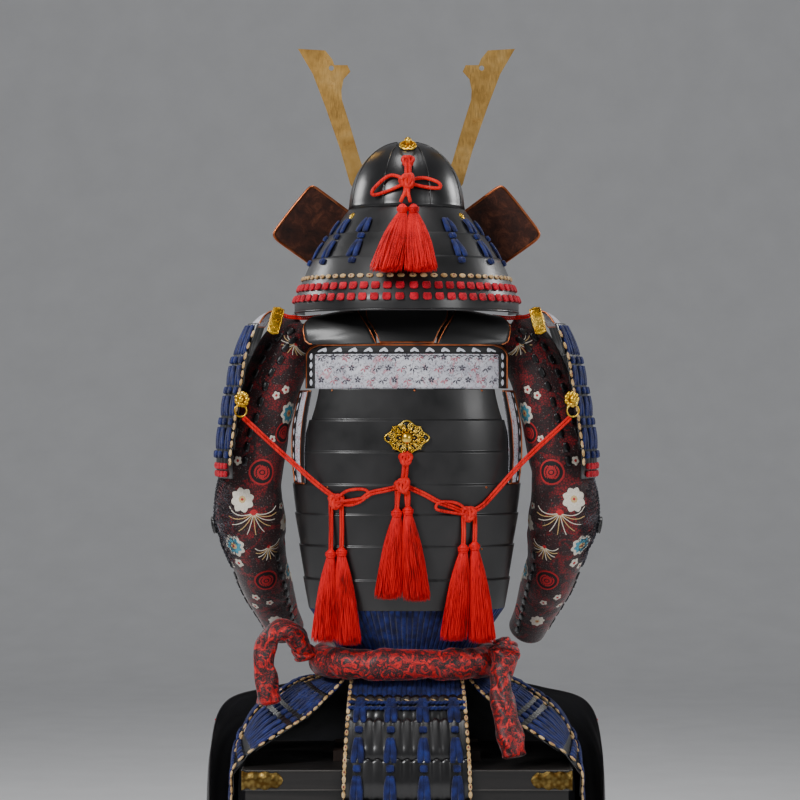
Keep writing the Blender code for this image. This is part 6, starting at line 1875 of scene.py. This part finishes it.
def build_tassel(row):
    name, x, lean_x, lean_y, top, head, bottom, half = row
    low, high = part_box(name)
    crown = name.startswith("crown")
    middle = float(high[1]) - 0.0079 if crown else (float(low[1]) + float(high[1])) / 2
    if crown:
        lean_y = (float(low[1]) + half * 0.8) - middle
    form = Form()
    golden = math.pi * (3 - math.sqrt(5))
    number = np.arange(STRANDS)
    share = np.sqrt((number + 0.5) / STRANDS)
    turn = number * golden
    hash_one = (np.sin(number * 12.9898) * 43758.5453) % 1
    hash_two = (np.sin(number * 78.233) * 12543.123) % 1
    steps = np.linspace(0, 1, STRAND_STEPS) ** 1.3
    spread = 1 - (1 - steps) ** 2.1
    start_z, root = head - 0.010, 0.0070
    across = np.cos(turn) * share
    deep = np.sin(turn) * share
    for index in number:
        wobble = 0.0012 * np.sin(steps * (3 + 4 * hash_one[index]) + 6.28 * hash_two[index]) * steps
        radius = root + (half - root) * spread
        px = x + lean_x * steps + radius * across[index] + wobble
        py = middle + lean_y * steps ** 0.8 + radius * 0.8 * deep[index] + wobble[::-1] * 0.3
        pz = start_z + (bottom + 0.010 * hash_one[index] * share[index] - start_z) * steps
        add_tube(form, np.stack([px, py, pz], axis=-1), STRAND_RADIUS, 3)
    strands = make_piece(name + "_strands", form, ["tassel"], [name])
    bound = Form()
    place = np.array((x, middle, head))
    axes = np.eye(3)
    add_blobs(bound, [place - (0, 0, 0.004)], [axes], (0.0086, 0.0086, 0.0095), ROUND, 0)
    for turn_number in range(4):
        angle = np.linspace(0, 2 * math.pi, 16, endpoint=False)
        z = head - 0.0095 + turn_number * 0.0026
        reach = 0.0086 * math.cos(math.asin(min(0.95, abs(z - head + 0.004) / 0.0095))) + 0.0006
        ring = np.stack([x + reach * np.cos(angle), middle + reach * np.sin(angle), np.full(16, z)], axis=-1)
        add_tube(bound, ring, 0.0013, 5, 0, closed=True)
    if not crown:
        line = [(x, middle, top - 0.001), (x + 0.0006, middle, (top + head) / 2), (x, middle, head + 0.003)]
        for sign in (-1, 1):
            shifted = [(px + sign * 0.0019, py, pz) for px, py, pz in line]
            add_rope(bound, shifted, 0.0023, 1, 0.008, 3, 5, sign)
    make_piece(name + "_head", bound, ["tassel", "orange"])
    return strands


def add_knot(form, centre, size, look=0, turn=0.0):
    """A small knot of rope that crosses over itself three times."""
    t = np.linspace(0, 2 * math.pi, 60, endpoint=False)
    x = (np.sin(t) + 2 * np.sin(2 * t)) / 3
    z = (np.cos(t) - 2 * np.cos(2 * t)) / 3
    y = -np.sin(3 * t) * 0.42
    across = x * math.cos(turn) - z * math.sin(turn)
    up = x * math.sin(turn) + z * math.cos(turn)
    path = np.array(centre) + np.stack([across, y, up], axis=-1) * size
    add_tube(form, path, size * 0.30, 7, look, closed=True)
    for sign in (-1, 1):
        ring = np.array(centre) + np.stack([np.cos(t) * 0.52, np.full(60, -0.30), np.sin(t) * 0.80],
                                           axis=-1) * size
        ring[:, 0] += sign * size * 0.25
        add_tube(form, ring, size * 0.24, 7, look, closed=True)


def cord_path(outline, tree, radius, rest):
    path = []
    for x, z in outline:
        y = rest_y(tree, x, z, radius, None)
        path.append([x, rest if y is None else y - radius - 3 * GAP, z])
    for number in range(1, 4):
        share = number / 4
        path[number][1] = min(path[number][1], path[0][1] + (path[4][1] - path[0][1]) * share)
    return np.array(path)


def build_cords():
    made = {}
    for name, outline in (("cord_left", CORD_LEFT), ("cord_right", CORD_RIGHT)):
        path = cord_path(outline, TREES["back"], CORD_RADIUS, -0.108)
        low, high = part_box(name)
        path[:, 1] += (low[1] + high[1]) / 2 - (path[:, 1].min() + path[:, 1].max()) / 2
        path = smooth_path(path, 34)
        form = Form()
        add_double_rope(form, path, CORD_RADIUS)
        rope = make_piece(name + "_rope", form, ["orange"], [name])
        made[name] = (rope, path)
    side_y = {}
    for word, name, (x, z) in (("left", "cord_left", (-0.1240, 0.922)),
                               ("right", "cord_right", (0.1080, 0.900))):
        form = Form()
        path = made[name][1]
        near = path[np.argmin(np.abs(path[:, 0] - x))]
        centre = (x, near[1] - 0.003, z)
        side_y[word] = centre[1]
        add_knot(form, centre, 0.0125)
        loop = [(x, centre[1] - 0.004, z + 0.003), (x + 0.020, centre[1] - 0.007, z + 0.018),
                (x + 0.050, centre[1] - 0.008, z + 0.020), (x + 0.056, centre[1] - 0.009, z + 0.008),
                (x + 0.030, centre[1] - 0.008, z + 0.002), (x, centre[1] - 0.005, z - 0.002)]
        if word == "right":
            loop = [(2 * x - px, py, pz) for px, py, pz in loop]
        add_rope(form, loop, 0.0030, 0, 0.009)
        make_piece(name + "_knot", form, ["orange"])
    centre = Form()
    low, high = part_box("cord_centre")
    middle = (low[1] + high[1]) / 2
    line = [(-0.002, high[1] - 0.004, high[2]), (-0.002, middle, 0.995), (-0.003, middle, 0.975),
            (-0.005, middle, 0.960)]
    add_double_rope(centre, smooth_path(line, 12), CORD_RADIUS * 1.3)
    add_knot(centre, (-0.002, middle - 0.002, 0.996), 0.0110)
    add_knot(centre, (-0.007, middle - 0.002, 0.9500), 0.0125, turn=0.4)
    for sign in (-1, 1):
        line = [(-0.007 + sign * 0.004, middle, 0.948), (-0.008 + sign * 0.006, middle + 0.002, 0.930),
                (-0.008 + sign * 0.008, middle + 0.002, 0.912)]
        add_rope(centre, line, 0.0028, 0, 0.009)
    make_piece("cord_centre_rope", centre, ["orange"], ["cord_centre"])


def build_crown_cord():
    form = Form()
    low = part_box("crown_cord")[0]
    path = []
    for x, z in CROWN_CORD:
        y = rest_y(TREES["head"], x, z, 0.006, low[1])
        path.append((x, y - 0.0062, z))
    path[-2] = (path[-2][0], path[-2][1] - 0.006, path[-2][2])
    path[-1] = (path[-1][0], low[1] + 0.012, path[-1][2])
    add_double_rope(form, smooth_path(path, 20), 0.0062)
    add_knot(form, tuple(np.array(path[0]) + (0, -0.004, -0.006)), 0.0105)
    add_knot(form, tuple(np.array(path[3]) + (0, -0.006, 0)), 0.0125, turn=0.5)
    heart = np.array(path[3]) + (0, -0.008, 0)
    for bow in CROWN_BOWS:
        line = [tuple(heart)]
        for dx, dz in bow:
            x, z = heart[0] + dx, heart[2] + dz
            y = rest_y(TREES["head"], x, z, 0.004, heart[1] + 0.01)
            line.append((x, min(y - 0.005, heart[1] + 0.016), z))
        line.append(tuple(heart + (0, 0, -0.003)))
        add_rope(form, line, 0.0034, 0, 0.010)
    for x in (-0.011, 0.006):
        tail = [tuple(path[4]), ((path[4][0] + x) / 2, path[5][1], 1.458), (x, path[5][1] + 0.002, 1.446)]
        add_rope(form, tail, 0.0034, 0, 0.009)
    make_piece("crown_cord_rope", form, ["orange"], ["crown_cord"])


def build_guard_cords():
    for side, word in ((-1, "left"), (1, "right")):
        low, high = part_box(f"sode_cord_{word}")
        inner, outer = (high[0], low[0]) if side < 0 else (low[0], high[0])
        path = [(inner, -0.030, 1.2485), (side * 0.1800, -0.034, 1.2455), (side * 0.2020, -0.040, 1.2465),
                (side * 0.2150, -0.043, high[2] - 0.009), (outer, -0.045, high[2] - 0.004)]
        form = Form()
        add_double_rope(form, smooth_path(path, 14), 0.0036)
        make_piece(f"sode_cord_{word}_rope", form, ["orange"], [f"sode_cord_{word}"])


def build_fittings():
    """Gilt rings and openwork plates that hold the cords, and the stud plates on the chest."""
    form = Form()
    turn = np.linspace(0, 2 * math.pi, 28, endpoint=False)
    for side in (-1, 1):
        centre = np.array((side * 0.2920, -0.1215, 1.0800))
        ring = centre + 0.0105 * np.stack([np.cos(turn), 0 * turn, np.sin(turn)], axis=-1)
        add_tube(form, ring, 0.0016, 7, closed=True)
        for number in range(9):
            angle = 2 * math.pi * number / 9
            place = centre + np.array((side * -0.002 + 0.009 * math.cos(angle), 0.0035,
                                       0.020 + 0.010 * math.sin(angle)))
            add_blobs(form, [place], [np.eye(3)], (0.0048, 0.0024, 0.0048), ROUND)
        add_blobs(form, [centre + (0, 0.001, 0.020)], [np.eye(3)], (0.0065, 0.0045, 0.0065), ROUND)
    make_piece("cord_rings", form, ["gilt"])
    crown = Form()
    low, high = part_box("crown_ring")
    lift = math.radians(62)
    way = np.array((0, -math.cos(lift), math.sin(lift)))
    hang = math.radians(38)
    down = np.array((0, -math.cos(hang), -math.sin(hang)))
    middle = (np.array(low) + np.array(high)) / 2 + way * 0.007
    centre = middle + down * 0.0130
    ring = centre + 0.0140 * (np.cos(turn)[:, None] * np.array((1.0, 0, 0)) + np.sin(turn)[:, None] * down)
    add_tube(crown, ring, 0.0016, 7, closed=True)
    add_blobs(crown, [middle + way * 0.001], [np.eye(3)], (0.0068, 0.0068, 0.0068), ROUND)
    for number in range(10):
        angle = 2 * math.pi * number / 10
        side = np.array((1.0, 0, 0)) * math.cos(angle) + np.cross(way, (1.0, 0, 0)) * math.sin(angle)
        add_blobs(crown, [middle - way * 0.0060 + side * 0.0115], [np.eye(3)], (0.0036, 0.0036, 0.0026),
                  SMALL)
    make_piece("crown_loop", crown, ["gilt"])
    build_filigree()


def build_filigree():
    """The openwork plate on the back: a lobed frame, scrolls, small leaves and a domed boss."""
    form = Form()
    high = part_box("back_fitting")[1]
    face_y, half_wide, half_tall = high[1] - 0.0026, 0.0335, 0.0262
    turn = np.linspace(0, 2 * math.pi, 96, endpoint=False)
    for share, thick in ((1.0, 0.0015), (0.52, 0.0012)):
        swell = share * (1 + 0.10 * np.cos(4 * turn) + 0.06 * np.cos(8 * turn))
        ring = np.stack([half_wide * swell * np.cos(turn), np.full(96, face_y),
                         FITTING_Z + half_tall * swell * np.sin(turn)], axis=-1)
        add_tube(form, ring, thick, 6, closed=True)
    for number in range(12):
        angle = 2 * math.pi * (number + 0.5) / 12
        for size, reach, way in ((0.0058, 0.80, 1), (0.0034, 0.62, -1)):
            centre = np.array((half_wide * reach * math.cos(angle), face_y - 0.0010,
                               FITTING_Z + half_tall * reach * math.sin(angle)))
            curl = np.linspace(0, 3.1 * math.pi, 30)
            radius = size * (1 - curl / curl[-1] * 0.80)
            path = centre + np.stack([radius * np.cos(way * curl + angle), -0.0010 * np.sin(curl / 3.1),
                                      radius * np.sin(way * curl + angle)], axis=-1)
            add_tube(form, path, 0.0011, 6)
        leaf = np.array((half_wide * 0.97 * math.cos(angle), face_y - 0.0015,
                         FITTING_Z + half_tall * 0.97 * math.sin(angle)))
        spoke = np.array((math.cos(angle), 0, math.sin(angle)))
        cross = np.array((-math.sin(angle), 0, math.cos(angle)))
        add_blobs(form, [leaf], [np.stack([spoke, cross, (0.0, -1.0, 0)])], (0.0036, 0.0017, 0.0015), SMALL)
    centre = np.array((0, face_y - 0.002, FITTING_Z))
    add_blobs(form, [centre], [np.eye(3)], (0.0110, 0.0085, 0.0110), ROUND)
    for number in range(14):
        angle = 2 * math.pi * number / 14
        place = centre + (0.0125 * math.cos(angle), -0.001, 0.0125 * math.sin(angle))
        add_blobs(form, [place], [np.eye(3)], (0.0020, 0.0020, 0.0020), SMALL)
    back = Form()
    wall_u, wall_v = np.meshgrid(turn, np.linspace(0.02, 0.96, 6))
    swell = wall_v * (1 + 0.10 * np.cos(4 * wall_u) + 0.06 * np.cos(8 * wall_u))
    outer = np.stack([half_wide * swell * np.cos(wall_u), np.full_like(wall_u, high[1] - 0.0012),
                      FITTING_Z + half_tall * swell * np.sin(wall_u)], axis=-1)
    inner = outer + (0, 0.0008, 0)
    add_wall(back, outer, inner, 0, True)
    make_piece("back_fitting_openwork", form, ["gilt"], ["back_fitting"])
    make_piece("back_fitting_ground", back, ["lacquer"])


def build_shoulder_fittings():
    """Engraved gilt plates that clasp the back edge of each shoulder guard's top."""
    form = Form()
    for side in (-1, 1):
        lean = math.radians(SHOULDER_FITTING_LEAN) * side
        across = np.array((math.cos(lean), 0, math.sin(lean)))
        up = np.array((-math.sin(lean), 0.25, math.cos(lean)))
        up /= np.linalg.norm(up)
        out = np.cross(up, across)
        centre = np.array(SHOULDER_FITTING) * (side, 1, 1)
        axes = [np.stack([across, up, out])]
        add_blobs(form, [centre], axes, SHOULDER_FITTING_HALF, SQUARE, 0)
        half_wide, half_tall, _ = SHOULDER_FITTING_HALF
        face = centre + out * 0.0020 * np.sign(out @ np.array((0, -1.0, 0)))
        turn = np.linspace(0, 2 * math.pi, 40, endpoint=False)
        frame_line = face + (across * half_wide * 0.82)[None] * np.clip(1.5 * np.cos(turn), -1, 1)[:, None] \
            + (up * half_tall * 0.86)[None] * np.clip(1.5 * np.sin(turn), -1, 1)[:, None]
        add_tube(form, frame_line, 0.0009, 5, 0, closed=True)
        for row in (-0.52, 0.0, 0.52):
            for way in (-1, 1):
                curl = np.linspace(0, 2.6 * math.pi, 24)
                radius = 0.0050 * (1 - curl / curl[-1] * 0.8)
                middle = face + up * half_tall * row + across * way * half_wide * 0.36
                path = middle + radius[:, None] * (np.cos(way * curl)[:, None] * across
                                                   + np.sin(curl)[:, None] * up)
                add_tube(form, path, 0.0008, 5, 0)
    make_piece("shoulder_fittings", form, ["gilt"])


def build_chest_fittings():
    """Antique scalloped corner plates, raised lid edge and base band."""
    low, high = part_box("chest_lid")
    for word, sign in (("left", -1), ("right", 1)):
        form = Form()
        count = 40
        for face in ("back", "front"):
            y = low[1] - 0.0012 if face == "back" else high[1] + 0.0012
            across = np.linspace(0, 1, count)
            reach = 0.072
            x = sign * (high[0] + 0.0008 - across * reach)
            ripple = 0.9 + 0.1 * np.cos(across * math.pi * 7)
            tall = 0.017 * np.sqrt(np.clip(1 - across ** 6, 0, 1)) * ripple
            middle = high[2] - 0.0178
            top = np.stack([x, np.full(count, y), middle + tall], axis=-1)
            bottom = np.stack([x, np.full(count, y), middle - tall], axis=-1)
            outer = np.stack([bottom, bottom * 0.5 + top * 0.5, top])
            back = outer.copy()
            back[..., 1] += 0.0010 if face == "back" else -0.0010
            outer[1, :, 1] += -0.0006 if face == "back" else 0.0006
            add_wall(form, outer, back)
        make_piece(f"chest_corner_{word}", form, ["antique"])
    bands = Form()
    for z, tall in ((high[2] - 0.0012, 0.0016), (low[2] + 0.0016, 0.0014)):
        corners = np.array([(low[0], low[1]), (high[0], low[1]), (high[0], high[1]), (low[0], high[1])])
        path = []
        for number in range(4):
            start, end = corners[number], corners[(number + 1) % 4]
            for share in np.linspace(0.012, 0.988, 12):
                path.append((*(start + (end - start) * share), z))
        add_tube(bands, np.array(path), tall, 6, closed=True)
    make_piece("chest_lid_edges", bands, ["lid_edge"])


def dress_nodes():
    """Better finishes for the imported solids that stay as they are."""
    plain = {
        "gilt": ("crown_ring", "horn_base"),
        "filigree": ("back_fitting",),
        "horn": ("horn_left", "horn_right"),
        "stand": ("stand_bar", "stand_foot", "stand_head", "stand_post"),
        "chest": ("chest_body", "chest_lid"),
    }
    for look, names in plain.items():
        for name in names:
            for slot in NODES[name].material_slots:
                slot.material = LOOKS[look]


# Stage

def build_stage():
    points, faces = [], []
    profile = [(-FLOOR_HALF * 1.4, 0.0), (FLOOR_BACK - FLOOR_BEND, 0.0)]
    for step in range(1, 17):
        angle = math.pi / 2 * step / 16
        profile.append((FLOOR_BACK - FLOOR_BEND + FLOOR_BEND * math.sin(angle),
                        FLOOR_BEND * (1 - math.cos(angle))))
    profile.append((FLOOR_BACK, FLOOR_RISE))
    for y, z in profile:
        points += [(-FLOOR_HALF, y, z - 0.0005), (FLOOR_HALF, y, z - 0.0005)]
    for row in range(len(profile) - 1):
        faces.append((2 * row, 2 * row + 1, 2 * row + 3, 2 * row + 2))
    mesh = bpy.data.meshes.new("floor")
    mesh.from_pydata(points, [], faces)
    mesh.materials.append(plain_look("floor_paper", (232, 232, 233), (238, 238, 239), 0.85, scale=6,
                                     bump=0.02))
    for polygon in mesh.polygons:
        polygon.use_smooth = True
    floor = bpy.data.objects.new("floor", mesh)
    bpy.context.scene.collection.objects.link(floor)


def build_lights():
    for name, place, aim, size, power in LIGHTS:
        data = bpy.data.lights.new(name, "AREA")
        data.energy, data.size = power, size
        light = bpy.data.objects.new(name, data)
        light.location = place
        light.rotation_euler = (Vector(aim) - Vector(place)).to_track_quat("-Z", "Y").to_euler()
        bpy.context.scene.collection.objects.link(light)
    world = bpy.data.worlds.new("studio")
    world.use_nodes = True
    world.node_tree.nodes["Background"].inputs["Color"].default_value = SKY_COLOUR
    world.node_tree.nodes["Background"].inputs["Strength"].default_value = SKY_STRENGTH
    bpy.context.scene.world = world


build_camera()
LOOKS = make_looks()
TREES = {
    "back": tree_of(["cuirass_back", "underarm_left", "underarm_right", "back_fitting"]),
    "head": tree_of(["helmet_bowl", "neck_guard_1", "neck_guard_2", "neck_guard_3", "crown_ring"]),
}
build_cords()
build_crown_cord()
build_guard_cords()
for tassel_row in TASSELS:
    build_tassel(tassel_row)
build_cuirass()
build_back_panel()
build_underarm()
build_helmet()
build_shoulder_guards()
build_sleeves()
build_skirt()
build_waist()
build_sash()
build_thigh_guards()
build_straps()
build_brim()
build_guard_tops()
build_fittings()
build_shoulder_fittings()
build_chest_fittings()
dress_nodes()
build_stage()
build_lights()
